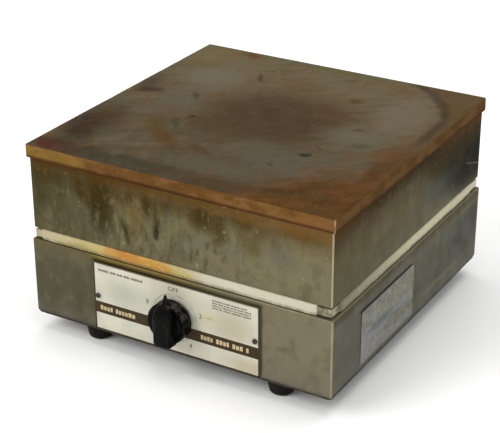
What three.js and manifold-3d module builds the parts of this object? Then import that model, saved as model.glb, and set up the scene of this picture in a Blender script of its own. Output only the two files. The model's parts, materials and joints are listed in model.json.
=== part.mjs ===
// Square electric hot plate: a thick steel plate on a sheet-metal heating head, which stands on a
// control box with a knob, an energy regulator and four rubber feet.
// Millimetres. x runs to the right seen from the front, y to the back, z up. The feet stand on z = 0.
// The origin is at the bottom centre of the object's box, knob and cord gland included.

import * as THREE from "three";
import { mergeVertices } from "three/addons/utils/BufferGeometryUtils.js";
import Module from "manifold-3d";

const wasm = await Module();
wasm.setup();

// ---------------------------------------------------------------- driving dimensions

const clear = 0.3; // air between pieces that touch in the real object
const sheet = 1.2; // sheet metal of both shells and the covers
const bend = 1.4; // outer radius of every sheet-metal bend

const plate = { side: 305, thick: 12.6, corner: 1.3, edge: 0.8 };
const head = { side: 300.6, tall: 68.2, flange: 12 };
const gap = { tall: 10.7, stripThick: 4.1, stripInset: -0.5, frameInset: 3.9, blockInset: 1, blockStep: 1.6 };
const box = { side: 303.6, tall: 73.5, sideFlange: 14, endFlange: 34 };
const foot = { tall: 17.3, x: 95, y: 133, topRadius: 13.2 };
const panel = { wide: 170, tall: 67, thick: 1.3, aboveCover: 2.6, axisAboveMiddle: 1, screwX: 80.3 };
const knob = { radius: 19.1, skirtTall: 14.2, reach: 22, barWide: 19.4, noseReach: 28 };
const label = { long: 103.5, tall: 51, thick: 0.4, y: -47.3, aboveCover: 7 };
const gland = { x: -95, z: 40, flange: 4, radius: 10.5, bore: 4.2 };
const tie = { place: 125, radius: 3 };
const element = { tube: 4, innerTurn: 42, outerTurn: 125, turns: 3 };
const regulator = { wide: 44, tall: 38, deep: 30, wall: 2.5, shaft: 3, runningGap: 0.1 };
const cam = { low: 7, rise: 3, sweep: 288, thick: 6 };
const arm = { reach: 14, pin: 1.2, bump: 1.5, follow: 0.35 };

// ---------------------------------------------------------------- levels and places

const coverBottom = foot.tall;
const coverTop = coverBottom + sheet;
const boxBottom = coverTop + clear;
const boxTop = boxBottom + box.tall;
const deckBottom = boxTop - sheet;
const headBottom = boxTop + gap.tall;
const headTop = headBottom + head.tall;
const plateBottom = headTop + clear;
const plateTop = plateBottom + plate.thick;

const trayFloor = headBottom + sheet + clear;
const reflectorFloor = trayFloor + 48.3;
const elementAxis = plateBottom - clear - element.tube;
const clampTop = elementAxis - element.tube - clear;
const legBottom = deckBottom - 6;

const boxFace = box.side / 2; // half width of the control box
const wallInside = boxFace - sheet;
const panelFace = boxFace + clear + panel.thick; // distance of the panel's face in front of the centre
const panelMiddle = coverBottom + panel.aboveCover + panel.tall / 2;
const axisHeight = panelMiddle + panel.axisAboveMiddle; // of the knob, its shaft and the panel screws
const frontReach = panelFace + knob.reach;
const rearReach = boxFace + clear + gland.flange;

const corners = [
  { name: "front_left", x: -1, y: -1 },
  { name: "front_right", x: 1, y: -1 },
  { name: "back_left", x: -1, y: 1 },
  { name: "back_right", x: 1, y: 1 },
];
const legs = [
  { name: "inner", y: element.innerTurn },
  { name: "outer", y: element.outerTurn },
];

// ---------------------------------------------------------------- finishes

const finishes = {
  plateSteel: { color: 0x69625a, roughness: 0.75, metalness: 0.6 },
  shellSteel: { color: 0x6d6756, roughness: 0.5, metalness: 0.8 },
  brightSteel: { color: 0xb4b1a8, roughness: 0.35, metalness: 0.9 },
  darkSteel: { color: 0x2c2a26, roughness: 0.55, metalness: 0.7 },
  nickelTube: { color: 0x4a4742, roughness: 0.6, metalness: 0.7 },
  fibre: { color: 0xc8be96, roughness: 0.95, metalness: 0 },
  blanket: { color: 0xd9d2bd, roughness: 1, metalness: 0 },
  panelPaint: { color: 0xcdcabc, roughness: 0.55, metalness: 0 },
  foil: { color: 0x8a887f, roughness: 0.4, metalness: 0.7 },
  phenolic: { color: 0x14130f, roughness: 0.35, metalness: 0 },
  rubber: { color: 0x1a1a18, roughness: 0.85, metalness: 0 },
  ceramic: { color: 0xd8d2c4, roughness: 0.6, metalness: 0 },
  brass: { color: 0xb08d4a, roughness: 0.35, metalness: 0.9 },
  sleeving: { color: 0xbdb49a, roughness: 0.9, metalness: 0 },
};

// ---------------------------------------------------------------- solids

// A closed geometry as a solid that can be cut and joined.
function solid(shape) {
  if (!shape.isBufferGeometry) return shape;
  const bare = shape.clone();
  bare.deleteAttribute("normal");
  bare.deleteAttribute("uv");
  const merged = mergeVertices(bare, 1e-4);
  const mesh = new wasm.Mesh({
    numProp: 3,
    vertProperties: merged.attributes.position.array,
    triVerts: new Uint32Array(merged.index.array),
  });
  return new wasm.Manifold(mesh);
}

// A solid as a faceted geometry.
function geometryOf(shape) {
  if (shape.isBufferGeometry) return shape;
  const mesh = shape.getMesh();
  const indexed = new THREE.BufferGeometry();
  indexed.setAttribute("position", new THREE.BufferAttribute(mesh.vertProperties, 3));
  indexed.setIndex(new THREE.BufferAttribute(mesh.triVerts, 1));
  const faceted = indexed.toNonIndexed();
  faceted.computeVertexNormals();
  return faceted;
}

function cut(base, ...tools) {
  return tools.reduce((left, tool) => left.subtract(solid(tool)), solid(base));
}

function join(base, ...pieces) {
  return pieces.reduce((whole, piece) => whole.add(solid(piece)), solid(base));
}

function common(one, other) {
  return solid(one).intersect(solid(other));
}

// A block between two opposite corners.
function block(x0, x1, y0, y1, z0, z1) {
  const shape = new THREE.BoxGeometry(x1 - x0, y1 - y0, z1 - z0);
  return shape.translate((x0 + x1) / 2, (y0 + y1) / 2, (z0 + z1) / 2);
}

// A round bar standing along z.
function post(radius, bottom, top, x = 0, y = 0, sides = 16) {
  const shape = new THREE.CylinderGeometry(radius, radius, top - bottom, sides);
  return shape.rotateX(Math.PI / 2).translate(x, y, (bottom + top) / 2);
}

// A round bar lying along y.
function pin(radius, front, back, x = 0, z = 0, sides = 16) {
  const shape = new THREE.CylinderGeometry(radius, radius, back - front, sides);
  return shape.translate(x, (front + back) / 2, z);
}

// A turned piece standing along z, from its outline as [radius, height] points.
function turned(outline, x = 0, y = 0, sides = 20) {
  const points = outline.map(([radius, height]) => new THREE.Vector2(radius, height));
  const shape = new THREE.LatheGeometry(points, sides);
  return shape.rotateX(Math.PI / 2).translate(x, y, 0);
}

// The outline of a rectangle with rounded corners, centred on the origin.
function roundedRectangle(wide, tall, radius) {
  const shape = new THREE.Shape();
  const x = wide / 2 - radius;
  const y = tall / 2 - radius;
  shape.absarc(x, y, radius, 0, Math.PI / 2);
  shape.absarc(-x, y, radius, Math.PI / 2, Math.PI);
  shape.absarc(-x, -y, radius, Math.PI, Math.PI * 1.5);
  shape.absarc(x, -y, radius, Math.PI * 1.5, Math.PI * 2);
  return shape;
}

function polygon(points) {
  return new THREE.Shape(points.map(([x, y]) => new THREE.Vector2(x, y)));
}

// Turns a piece drawn in (y, z) and extruded along its own third axis, so that it runs along x.
function onEdge(shape) {
  const turn = new THREE.Matrix4().makeBasis(
    new THREE.Vector3(0, 1, 0),
    new THREE.Vector3(0, 0, 1),
    new THREE.Vector3(1, 0, 0),
  );
  return shape.applyMatrix4(turn);
}

// A flat piece of constant outline between two levels.
function slab(outline, bottom, top, curveSegments = 2) {
  const options = { depth: top - bottom, bevelEnabled: false, curveSegments };
  return new THREE.ExtrudeGeometry(outline, options).translate(0, 0, bottom);
}

// The same with rounded upper and lower edges.
function softSlab(outline, bottom, top, edge, bevelSegments = 3, curveSegments = 2) {
  const options = {
    depth: top - bottom - 2 * edge,
    bevelThickness: edge,
    bevelSize: edge,
    bevelOffset: -edge,
    bevelSegments,
    curveSegments,
  };
  return new THREE.ExtrudeGeometry(outline, options).translate(0, 0, bottom + edge);
}

// A square tray with an upturned rim.
function tray(side, floor, rim, thick, corner) {
  const outside = slab(roundedRectangle(side, side, corner), floor, rim);
  const inner = side - 2 * thick;
  const hollow = slab(roundedRectangle(inner, inner, corner - thick), floor + thick, rim + 1);
  return cut(outside, hollow);
}

// A tube or wire along a curve.
function along(curve, radius, steps, sides = 8) {
  const section = new THREE.Shape();
  section.absarc(0, 0, radius, 0, Math.PI * 2);
  const options = { steps, extrudePath: curve, curveSegments: sides / 2 };
  return new THREE.ExtrudeGeometry(section, options);
}

function hexNut(acrossFlats, hole, bottom, top, x = 0, y = 0) {
  const body = post(acrossFlats / Math.sqrt(3), bottom, top, x, y, 6);
  return cut(body, post(hole, bottom - 1, top + 1, x, y, 12));
}

// One named mesh in a group.
function piece(group, name, shape, finish) {
  const material = new THREE.MeshStandardMaterial(finishes[finish]);
  const mesh = new THREE.Mesh(geometryOf(shape), material);
  mesh.name = name;
  group.add(mesh);
  return mesh;
}

const tieHoles = (radius, bottom, top) =>
  corners.map((c) => post(radius, bottom, top, c.x * tie.place, c.y * tie.place, 12));

const legHoles = (bottom, top) => legs.map((leg) => post(5, bottom, top, 0, leg.y, 12));

// ---------------------------------------------------------------- heating head

function heatingPlate() {
  const outline = roundedRectangle(plate.side, plate.side, plate.corner);
  const body = softSlab(outline, plateBottom, plateTop, plate.edge);
  const stud = post(4.3, plateBottom - 1, plateBottom + 8);
  return cut(body, stud, ...tieHoles(tie.radius + clear, plateBottom - 1, plateBottom + 9));
}

// Skirt of the head, with a flange turned inwards at the top and at the bottom.
function upperShell() {
  const outside = softSlab(
    roundedRectangle(head.side, head.side, bend),
    headBottom,
    headTop,
    bend - 0.2,
  );
  const inner = head.side - 2 * sheet;
  const opening = head.side - 2 * head.flange;
  return cut(
    outside,
    slab(roundedRectangle(inner, inner, bend - sheet), headBottom + sheet, headTop - sheet),
    slab(roundedRectangle(opening, opening, 8), headBottom - 1, headTop + 1),
  );
}

// Flat spiral of tube under the plate; both ends turn down through the head into the control box.
class Spiral extends THREE.Curve {
  getPoint(t, target = new THREE.Vector3()) {
    const angle = Math.PI / 2 + t * element.turns * 2 * Math.PI;
    const radius = element.innerTurn + t * (element.outerTurn - element.innerTurn);
    return target.set(radius * Math.cos(angle), radius * Math.sin(angle), elementAxis);
  }
}

function elementCoil() {
  const coil = along(new Spiral(), element.tube, 72);
  const ends = legs.flatMap((leg) => [
    post(element.tube, legBottom, elementAxis, 0, leg.y, 8),
    new THREE.SphereGeometry(element.tube + 0.05, 8, 6).translate(0, leg.y, elementAxis),
  ]);
  return join(coil, ...ends);
}

// Two crossed bars that press the spiral against the plate.
function clampCross() {
  const bars = [1, -1].map((side) => {
    const bar = block(-112, 112, -9, 9, clampTop - 3, clampTop);
    return bar.rotateZ((side * Math.PI) / 4);
  });
  return cut(join(...bars), post(4.3, clampTop - 4, clampTop + 1));
}

function reflectorPan() {
  const pan = tray(292, reflectorFloor, reflectorFloor + 9, 1, 5);
  const low = reflectorFloor - 1;
  const high = reflectorFloor + 2;
  return cut(pan, ...tieHoles(tie.radius + clear, low, high), ...legHoles(low, high));
}

function insulationBlanket() {
  const low = trayFloor + sheet + clear;
  const high = reflectorFloor - clear;
  const body = slab(roundedRectangle(294, 294, 5), low, high);
  return cut(
    body,
    ...tieHoles(tie.radius + clear, low - 1, high + 1),
    ...legHoles(low - 1, high + 1),
  );
}

function insulationTray() {
  const pan = tray(297, trayFloor, trayFloor + 12, sheet, 4);
  const low = trayFloor - 1;
  const high = trayFloor + 2;
  return cut(pan, ...tieHoles(tie.radius + clear, low, high), ...legHoles(low, high));
}

function heatingHead() {
  const group = new THREE.Group();
  piece(group, "heating_plate", heatingPlate(), "plateSteel");
  piece(group, "upper_shell", upperShell(), "shellSteel");
  piece(group, "element_coil", elementCoil(), "nickelTube");
  legs.forEach((leg) => {
    const terminal = post(1.8, legBottom - 14, legBottom - clear, 0, leg.y, 10);
    piece(group, `element_pin_${leg.name}`, terminal, "brightSteel");
  });
  piece(group, "clamp_cross", clampCross(), "darkSteel");
  const nutTop = clampTop - 3 - clear;
  piece(group, "clamp_stud", post(4, nutTop - 5.2, plateBottom + 7.5, 0, 0, 12), "darkSteel");
  piece(group, "clamp_nut", hexNut(13, 4.3, nutTop - 4.5, nutTop), "darkSteel");
  piece(group, "reflector_pan", reflectorPan(), "brightSteel");
  piece(group, "insulation_blanket", insulationBlanket(), "blanket");
  piece(group, "insulation_tray", insulationTray(), "brightSteel");
  return group;
}

// ---------------------------------------------------------------- gap between head and control box

// A strip of fibre: flat at the back, rounded in front. Made along x, facing the front.
function fibreStrip(from, to) {
  const outer = -(head.side / 2 - gap.stripInset);
  const back = outer + gap.stripThick;
  const low = boxTop + clear;
  const high = headBottom - clear;
  const bulge = 1.4;
  const section = new THREE.Shape();
  section.moveTo(back, low);
  section.lineTo(back, high);
  section.lineTo(outer + bulge, high);
  section.quadraticCurveTo(outer, high, outer, (high + low) / 2);
  section.quadraticCurveTo(outer, low, outer + bulge, low);
  return onEdge(slab(section, from, to, 3));
}

function spacerFrame() {
  const side = head.side - 2 * gap.frameInset;
  const inner = side - 2 * sheet;
  const low = boxTop + clear;
  const high = headBottom - clear;
  const outside = slab(roundedRectangle(side, side, bend), low, high);
  const ring = cut(outside, slab(roundedRectangle(inner, inner, bend - sheet), low - 1, high + 1));
  // A low block in each corner stops the strips. Its reach along x and y is measured from the corner.
  const edge = head.side / 2 - gap.blockInset;
  const blocks = [
    { x: -1, y: -1, alongX: 7, alongY: 7 },
    { x: 1, y: -1, alongX: 13, alongY: 14 },
    { x: 1, y: 1, alongX: 6, alongY: 16 },
    { x: -1, y: 1, alongX: 6, alongY: 6 },
  ].map((b) => {
    const xs = [b.x * edge, b.x * (edge - b.alongX)].sort((one, two) => one - two);
    const ys = [b.y * edge, b.y * (edge - b.alongY)].sort((one, two) => one - two);
    return block(xs[0], xs[1], ys[0], ys[1], low + gap.blockStep, high - gap.blockStep);
  });
  return join(ring, ...blocks);
}

function gapPieces() {
  const group = new THREE.Group();
  piece(group, "spacer_frame", spacerFrame(), "brightSteel");
  const strips = [
    { name: "front", from: -142, to: 136, turn: 0 },
    { name: "right", from: -135, to: 133, turn: Math.PI / 2 },
    { name: "back", from: -143, to: 143, turn: Math.PI },
    { name: "left", from: -143, to: 142, turn: -Math.PI / 2 },
  ];
  strips.forEach((strip) => {
    const mesh = piece(group, `gasket_${strip.name}`, fibreStrip(strip.from, strip.to), "fibre");
    mesh.rotation.z = strip.turn;
  });
  corners.forEach((c) => {
    const x = c.x * tie.place;
    const y = c.y * tie.place;
    const stud = post(tie.radius, deckBottom - 8, plateBottom + 8.5, x, y, 12);
    const nut = hexNut(10, tie.radius + clear, deckBottom - clear - 5, deckBottom - clear, x, y);
    piece(group, `tie_stud_${c.name}`, stud, "brightSteel");
    piece(group, `tie_nut_${c.name}`, nut, "brightSteel");
  });
  return group;
}

// ---------------------------------------------------------------- control box

// Box open at the bottom, with its deck on top and flanges turned inwards under the walls.
function lowerShell() {
  const outside = softSlab(roundedRectangle(box.side, box.side, bend), boxBottom, boxTop, bend - 0.2);
  const inner = box.side - 2 * sheet;
  const hollow = slab(roundedRectangle(inner, inner, bend - sheet), boxBottom + sheet, deckBottom);
  const openWide = box.side - 2 * box.sideFlange;
  const openDeep = box.side - 2 * box.endFlange;
  const opening = slab(roundedRectangle(openWide, openDeep, 6), boxBottom - 1, boxBottom + 2);
  const frontWall = [-boxFace - 1, -wallInside + 1];
  const rearWall = [wallInside - 1, boxFace + 1];
  const footHoles = corners.map((c) =>
    post(2.6, boxBottom - 1, boxBottom + 2, c.x * foot.x, c.y * foot.y, 10),
  );
  return cut(
    outside,
    hollow,
    opening,
    ...tieHoles(tie.radius + clear, deckBottom - 1, boxTop + 1),
    ...legHoles(deckBottom - 1, boxTop + 1),
    ...footHoles,
    post(2.3, boxBottom - 1, boxBottom + 2, -70, 130, 10),
    pin(5.2, ...frontWall, 0, axisHeight),
    pin(1.8, ...frontWall, -panel.screwX, axisHeight, 10),
    pin(1.8, ...frontWall, panel.screwX, axisHeight, 10),
    pin(8.6, ...rearWall, gland.x, gland.z),
  );
}

// Flat cover under the box, with three rows of vent slots.
function bottomCover() {
  const side = box.side - 1.2;
  const body = slab(roundedRectangle(side, side, 3), coverBottom, coverTop);
  const slots = [];
  for (const y of [-60, -20, 20]) {
    for (const x of [-96, -48, 0, 48, 96]) {
      const slot = slab(roundedRectangle(32, 5, 2.49), coverBottom - 1, coverTop + 1, 2);
      slots.push(slot.translate(x, y, 0));
    }
  }
  const holes = corners.map((c) =>
    post(2.6, coverBottom - 1, coverTop + 1, c.x * foot.x, c.y * foot.y, 10),
  );
  return cut(body, ...slots, ...holes);
}

function rubberFoot(x, y) {
  const top = foot.tall - clear;
  const hole = 2.6;
  const outline = [
    [4.7, 0],
    [7.8, 0],
    [9.8, 0.8],
    [11.1, 2.8],
    [foot.topRadius - 0.8, 8],
    [foot.topRadius, top],
    [hole, top],
    [hole, 7.5],
    [4.7, 7.5],
    [4.7, 0],
  ];
  return turned(outline, x, y, 18);
}

function footScrew(x, y) {
  const underHead = 7.5 - clear;
  return join(
    post(4.2, underHead - 2.8, underHead, x, y, 12),
    post(2.2, underHead - 0.5, boxBottom + sheet + 6, x, y, 10),
  );
}

function dataLabel() {
  const bottom = coverBottom + label.aboveCover;
  const outline = roundedRectangle(label.long, label.tall, 2.5);
  const foil = onEdge(slab(outline, boxFace + clear, boxFace + clear + label.thick));
  return foil.translate(0, label.y, bottom + label.tall / 2);
}

// Snap-in gland for a mains cord, with a collar on both sides of the rear wall.
function cordGland() {
  const outerCollar = pin(gland.radius, boxFace + clear, rearReach, gland.x, gland.z);
  const neck = pin(8.3, wallInside - 3, rearReach - 1, gland.x, gland.z);
  const innerCollar = pin(9.6, wallInside - 6, wallInside - clear, gland.x, gland.z);
  const bore = pin(gland.bore, wallInside - 8, rearReach + 1, gland.x, gland.z);
  return cut(join(outerCollar, neck, innerCollar), bore);
}

function terminalBlock() {
  const bottom = coverTop + clear;
  const body = block(-85, -35, 84, 106, bottom, bottom + 16);
  const wells = [-75, -60, -45].map((x) => post(3, bottom + 8, bottom + 17, x, 95, 10));
  return cut(body, ...wells);
}

function controlBox() {
  const group = new THREE.Group();
  piece(group, "lower_shell", lowerShell(), "shellSteel");
  piece(group, "bottom_cover", bottomCover(), "darkSteel");
  corners.forEach((c) => {
    const x = c.x * foot.x;
    const y = c.y * foot.y;
    const nutBottom = boxBottom + sheet + clear;
    piece(group, `foot_${c.name}`, rubberFoot(x, y), "rubber");
    piece(group, `foot_screw_${c.name}`, footScrew(x, y), "brightSteel");
    piece(group, `foot_nut_${c.name}`, hexNut(8, 2.5, nutBottom, nutBottom + 3.2, x, y), "brightSteel");
  });
  piece(group, "data_label", dataLabel(), "foil");
  piece(group, "cord_gland", cordGland(), "rubber");
  piece(group, "terminal_block", terminalBlock(), "ceramic");
  const flangeTop = boxBottom + sheet;
  const groundScrew = join(
    post(2, boxBottom + 0.1, flangeTop + 1, -70, 130, 10),
    post(4, flangeTop + clear, flangeTop + 3, -70, 130, 6),
  );
  piece(group, "ground_screw", groundScrew, "brass");
  return group;
}

// ---------------------------------------------------------------- panel

function controlPanel() {
  const outline = roundedRectangle(panel.wide, panel.tall, 1.5);
  const flat = slab(outline, 0, panel.thick).rotateX(Math.PI / 2);
  const body = flat.translate(0, -boxFace - clear, panelMiddle);
  const through = [-panelFace - 1, -boxFace + 1];
  return cut(
    body,
    pin(5.2, ...through, 0, axisHeight),
    pin(1.8, ...through, -panel.screwX, axisHeight, 10),
    pin(1.8, ...through, panel.screwX, axisHeight, 10),
  );
}

function panelScrew(x) {
  const underHead = -panelFace - clear;
  const headPart = pin(2.4, underHead - 1.2, underHead, x, axisHeight, 16);
  const shank = pin(1.5, underHead - 0.5, -wallInside + 4, x, axisHeight, 10);
  const slot = block(x - 3, x + 3, underHead - 2, underHead - 0.7, axisHeight - 0.35, axisHeight + 0.35);
  return cut(join(headPart, shank), slot);
}

function panelPieces() {
  const group = new THREE.Group();
  piece(group, "control_panel", controlPanel(), "panelPaint");
  piece(group, "panel_screw_left", panelScrew(-panel.screwX), "darkSteel");
  piece(group, "panel_screw_right", panelScrew(panel.screwX), "darkSteel");
  return group;
}

// ---------------------------------------------------------------- energy regulator

// Places inside the regulator, as y in the frame of the whole object (the front is at -y).
const mountFront = -wallInside + clear;
const mountBack = mountFront + 1.5;
const caseFront = mountBack + clear;
const caseBack = caseFront + regulator.deep;
const camFront = caseFront + 9;
const followerHeight = axisHeight - cam.low - arm.follow - arm.bump;

function regulatorCase() {
  const x = regulator.wide / 2;
  const z = regulator.tall / 2;
  const wall = regulator.wall;
  const outside = block(-x, x, caseFront, caseBack, axisHeight - z, axisHeight + z);
  const hollow = block(
    -x + wall,
    x - wall,
    caseFront - 1,
    caseBack - wall,
    axisHeight - z + wall,
    axisHeight + z - wall,
  );
  const slots = [-10, 10].map((place) =>
    block(place - 0.8, place + 0.8, caseBack - 4, caseBack + 1, axisHeight + 6.5, axisHeight + 13.5),
  );
  const pivot = pin(arm.pin, camFront - 2, caseBack - 1, -arm.reach, followerHeight, 12);
  return join(cut(outside, hollow, ...slots), pivot);
}

function regulatorMount() {
  const flat = block(-24, 24, mountFront, mountBack, axisHeight - 20, axisHeight + 20);
  const neck = pin(4.8, -panelFace - 5.2, mountFront + 1, 0, axisHeight);
  const bore = pin(regulator.shaft + regulator.runningGap, -panelFace - 7, mountBack + 1, 0, axisHeight);
  return cut(join(flat, neck), bore);
}

function neckNut() {
  const back = -panelFace - clear;
  const body = pin(14 / Math.sqrt(3), back - 2.5, back, 0, axisHeight, 6);
  return cut(body, pin(5.1, back - 4, back + 1, 0, axisHeight));
}

// The flat of the D-shaped front end faces down, towards the knob's set screw.
function regulatorShaft() {
  const rod = pin(regulator.shaft, -panelFace - 12.6, camFront + cam.thick + 6, 0, axisHeight);
  const flat = block(-4, 4, -panelFace - 14, -panelFace - 5.6, axisHeight - 4, axisHeight - 2.3);
  return cut(rod, flat);
}

// Spiral cam. Its radius grows evenly over the knob's sweep and falls back in the unused part.
function regulatorCam() {
  const outline = new THREE.Shape();
  const stops = 48;
  const rampFrom = cam.sweep + 15;
  const rampTo = 345;
  for (let i = 0; i < stops; i++) {
    const angle = (i * 360) / stops;
    let lift = cam.rise * Math.min(angle / cam.sweep, 1);
    if (angle > rampFrom) lift = cam.rise * Math.max(0, (rampTo - angle) / (rampTo - rampFrom));
    const radius = cam.low + lift;
    const turn = THREE.MathUtils.degToRad(angle);
    const x = radius * Math.sin(turn);
    const z = -radius * Math.cos(turn);
    if (i === 0) outline.moveTo(x, z);
    else outline.lineTo(x, z);
  }
  const disc = slab(outline, 0, cam.thick).rotateX(Math.PI / 2);
  const placed = disc.translate(0, camFront + cam.thick, axisHeight);
  const boreRadius = regulator.shaft + regulator.runningGap;
  const bore = pin(boreRadius, camFront - 1, camFront + cam.thick + 1, 0, axisHeight);
  return cut(placed, bore);
}

// Lever under the cam: it turns on the case's pin and carries the follower bump.
function contactArm() {
  const front = camFront + 0.5;
  const back = camFront + cam.thick - 0.5;
  const hub = pin(3, front, back, -arm.reach, followerHeight, 12);
  const strip = block(-arm.reach, 12, front, back, followerHeight - 0.9, followerHeight + 0.3);
  const bump = pin(arm.bump, front, back, 0, followerHeight, 12);
  const bore = pin(arm.pin + regulator.runningGap, front - 1, back + 1, -arm.reach, followerHeight, 12);
  return cut(join(hub, strip, bump), bore);
}

function regulatorPieces() {
  const group = new THREE.Group();
  piece(group, "regulator_case", regulatorCase(), "phenolic");
  piece(group, "regulator_mount", regulatorMount(), "brightSteel");
  piece(group, "neck_nut", neckNut(), "brass");
  piece(group, "regulator_shaft", regulatorShaft(), "brightSteel");
  piece(group, "regulator_cam", regulatorCam(), "ceramic");
  piece(group, "contact_arm", contactArm(), "brass");
  [
    { name: "terminal_blade_line", x: -10 },
    { name: "terminal_blade_load", x: 10 },
  ].forEach((blade) => {
    const shape = block(
      blade.x - 0.4,
      blade.x + 0.4,
      caseBack - 7,
      caseBack + 8,
      axisHeight + 6.9,
      axisHeight + 13.1,
    );
    piece(group, blade.name, shape, "brass");
  });
  return group;
}

// ---------------------------------------------------------------- knob

const setScrewY = -8.6;

// Made on the panel's face: the axis lies along y, and -y is towards the front.
function knobBody() {
  const rear = -2.4;
  const outline = [
    [0, -knob.skirtTall],
    [knob.radius - 1.9, -knob.skirtTall],
    [knob.radius - 0.5, -knob.skirtTall + 0.6],
    [knob.radius, -knob.skirtTall + 2],
    [knob.radius, -4],
    [knob.radius - 0.5, rear - 0.4],
    [knob.radius - 1.2, rear],
    [15.5, rear],
    [15.5, -8],
    [6.8, -8],
    [6.8, -5.8],
    [0, -5.8],
  ];
  const points = outline.map(([radius, y]) => new THREE.Vector2(radius, y));
  const skirt = new THREE.LatheGeometry(points, 32);
  const bar = common(common(barPlan(), barSide()), barDraft());
  const insertHole = pin(4.4, -13.4, -5);
  const setScrewHole = post(1.8, -knob.radius - 1, -3.5, 0, setScrewY, 10);
  return cut(join(skirt, bar), insertHole, setScrewHole);
}

// The bar grip seen from the front: a wide round lower end, straight sides, and a pointed nose.
function barPlan() {
  const half = knob.barWide / 2;
  const lower = -21.4;
  const outline = new THREE.Shape();
  outline.moveTo(-half + 0.3, 6);
  outline.lineTo(-half, lower + 6);
  outline.quadraticCurveTo(-half + 0.6, lower, 0, lower);
  outline.quadraticCurveTo(half - 0.6, lower, half, lower + 6);
  outline.lineTo(half - 0.3, 6);
  outline.lineTo(half - 1.6, 11.5);
  outline.lineTo(half - 4.4, 16.5);
  outline.lineTo(2.6, 20.5);
  outline.lineTo(0.7, knob.noseReach);
  outline.lineTo(-0.7, knob.noseReach);
  outline.lineTo(-2.6, 20.5);
  outline.lineTo(-half + 4.4, 16.5);
  outline.lineTo(-half + 1.6, 11.5);
  const options = { depth: knob.reach - 8, bevelEnabled: false, curveSegments: 4 };
  return new THREE.ExtrudeGeometry(outline, options).rotateX(Math.PI / 2).translate(0, -9, 0);
}

// The bar grip seen from above: its sides lean together towards the front, with a rounded crown.
function barDraft() {
  const half = knob.barWide / 2;
  const right = [
    [half, 0],
    [half, -knob.skirtTall],
    [half - 0.8, -knob.reach + 1.6],
    [half - 1.5, -knob.reach + 0.5],
    [half - 2.6, -knob.reach],
  ];
  const left = right.map(([x, y]) => [-x, y]).reverse();
  return slab(polygon([...left, ...right]), -40, 40);
}

// The bar grip seen from the side: a level crown that slopes down to the nose.
function barSide() {
  const reach = knob.reach;
  const outline = polygon([
    [-9.5, -19],
    [-14, -21],
    [-reach + 1.6, -21.4],
    [-reach, -19.7],
    [-reach, 6],
    [-reach + 1, 11.5],
    [-reach + 4, 17.5],
    [-15.4, knob.noseReach - 1],
    [-14.2, knob.noseReach],
    [-12.8, knob.noseReach - 1.4],
    [-9.5, 19],
  ]);
  return onEdge(slab(outline, -10, 10));
}

function knobInsert() {
  const round = pin(regulator.shaft + 0.15, -14, -5);
  const bore = cut(round, block(-4, 4, -15, -4, -4, -2.45));
  const screwHole = post(1.8, -5, -2, 0, setScrewY, 10);
  return cut(pin(4.1, -13, -6), bore, screwHole);
}

function knobPieces() {
  const group = new THREE.Group();
  piece(group, "knob", knobBody(), "phenolic");
  piece(group, "knob_insert", knobInsert(), "brass");
  piece(group, "knob_set_screw", post(1.5, -6.6, -2.7, 0, setScrewY, 8), "darkSteel");
  group.position.set(0, -panelFace, axisHeight);
  return group;
}

// ---------------------------------------------------------------- wiring inside the box

function wiring() {
  const group = new THREE.Group();
  const pinEnd = legBottom - 14 - 2 * clear;
  const bladeEnd = caseBack + 8 + 2 * clear;
  const bladeHeight = axisHeight + 10;
  const wellFloor = coverTop + clear + 8 + 2 * clear;
  const routes = {
    lead_load: [
      [0, element.innerTurn, pinEnd],
      [0, element.innerTurn, pinEnd - 9],
      [4, 10, 50],
      [9, -50, 52],
      [10, -85, bladeHeight - 2],
      [10, bladeEnd, bladeHeight],
    ],
    lead_neutral: [
      [0, element.outerTurn, pinEnd],
      [0, element.outerTurn, pinEnd - 9],
      [-20, 112, 50],
      [-42, 98, 48],
      [-45, 95, 40],
      [-45, 95, wellFloor],
    ],
    lead_line: [
      [-10, bladeEnd, bladeHeight],
      [-11, -90, bladeHeight - 2],
      [-35, -40, 46],
      [-66, 50, 46],
      [-74, 88, 48],
      [-75, 95, 40],
      [-75, 95, wellFloor],
    ],
  };
  for (const [name, stops] of Object.entries(routes)) {
    const points = stops.map((stop) => new THREE.Vector3(...stop));
    const curve = new THREE.CatmullRomCurve3(points, false, "centripetal");
    piece(group, name, along(curve, 1.5, 28, 6), "sleeving");
  }
  return group;
}

// ---------------------------------------------------------------- whole object

const hotPlate = new THREE.Group();
hotPlate.add(
  heatingHead(),
  gapPieces(),
  controlBox(),
  panelPieces(),
  regulatorPieces(),
  knobPieces(),
  wiring(),
);
hotPlate.position.y = (frontReach - rearReach) / 2;

export default hotPlate;
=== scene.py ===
"""Looks of a square electric hot plate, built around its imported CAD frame.

Lengths are metres in the frame's own axes: the front panel faces -Y, and Z is up.
The worn places on a surface are written in millimetres from the middle of the plate.
"""
import json
import math
import random

import bmesh
import bpy
from mathutils import Matrix, Vector, noise


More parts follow.
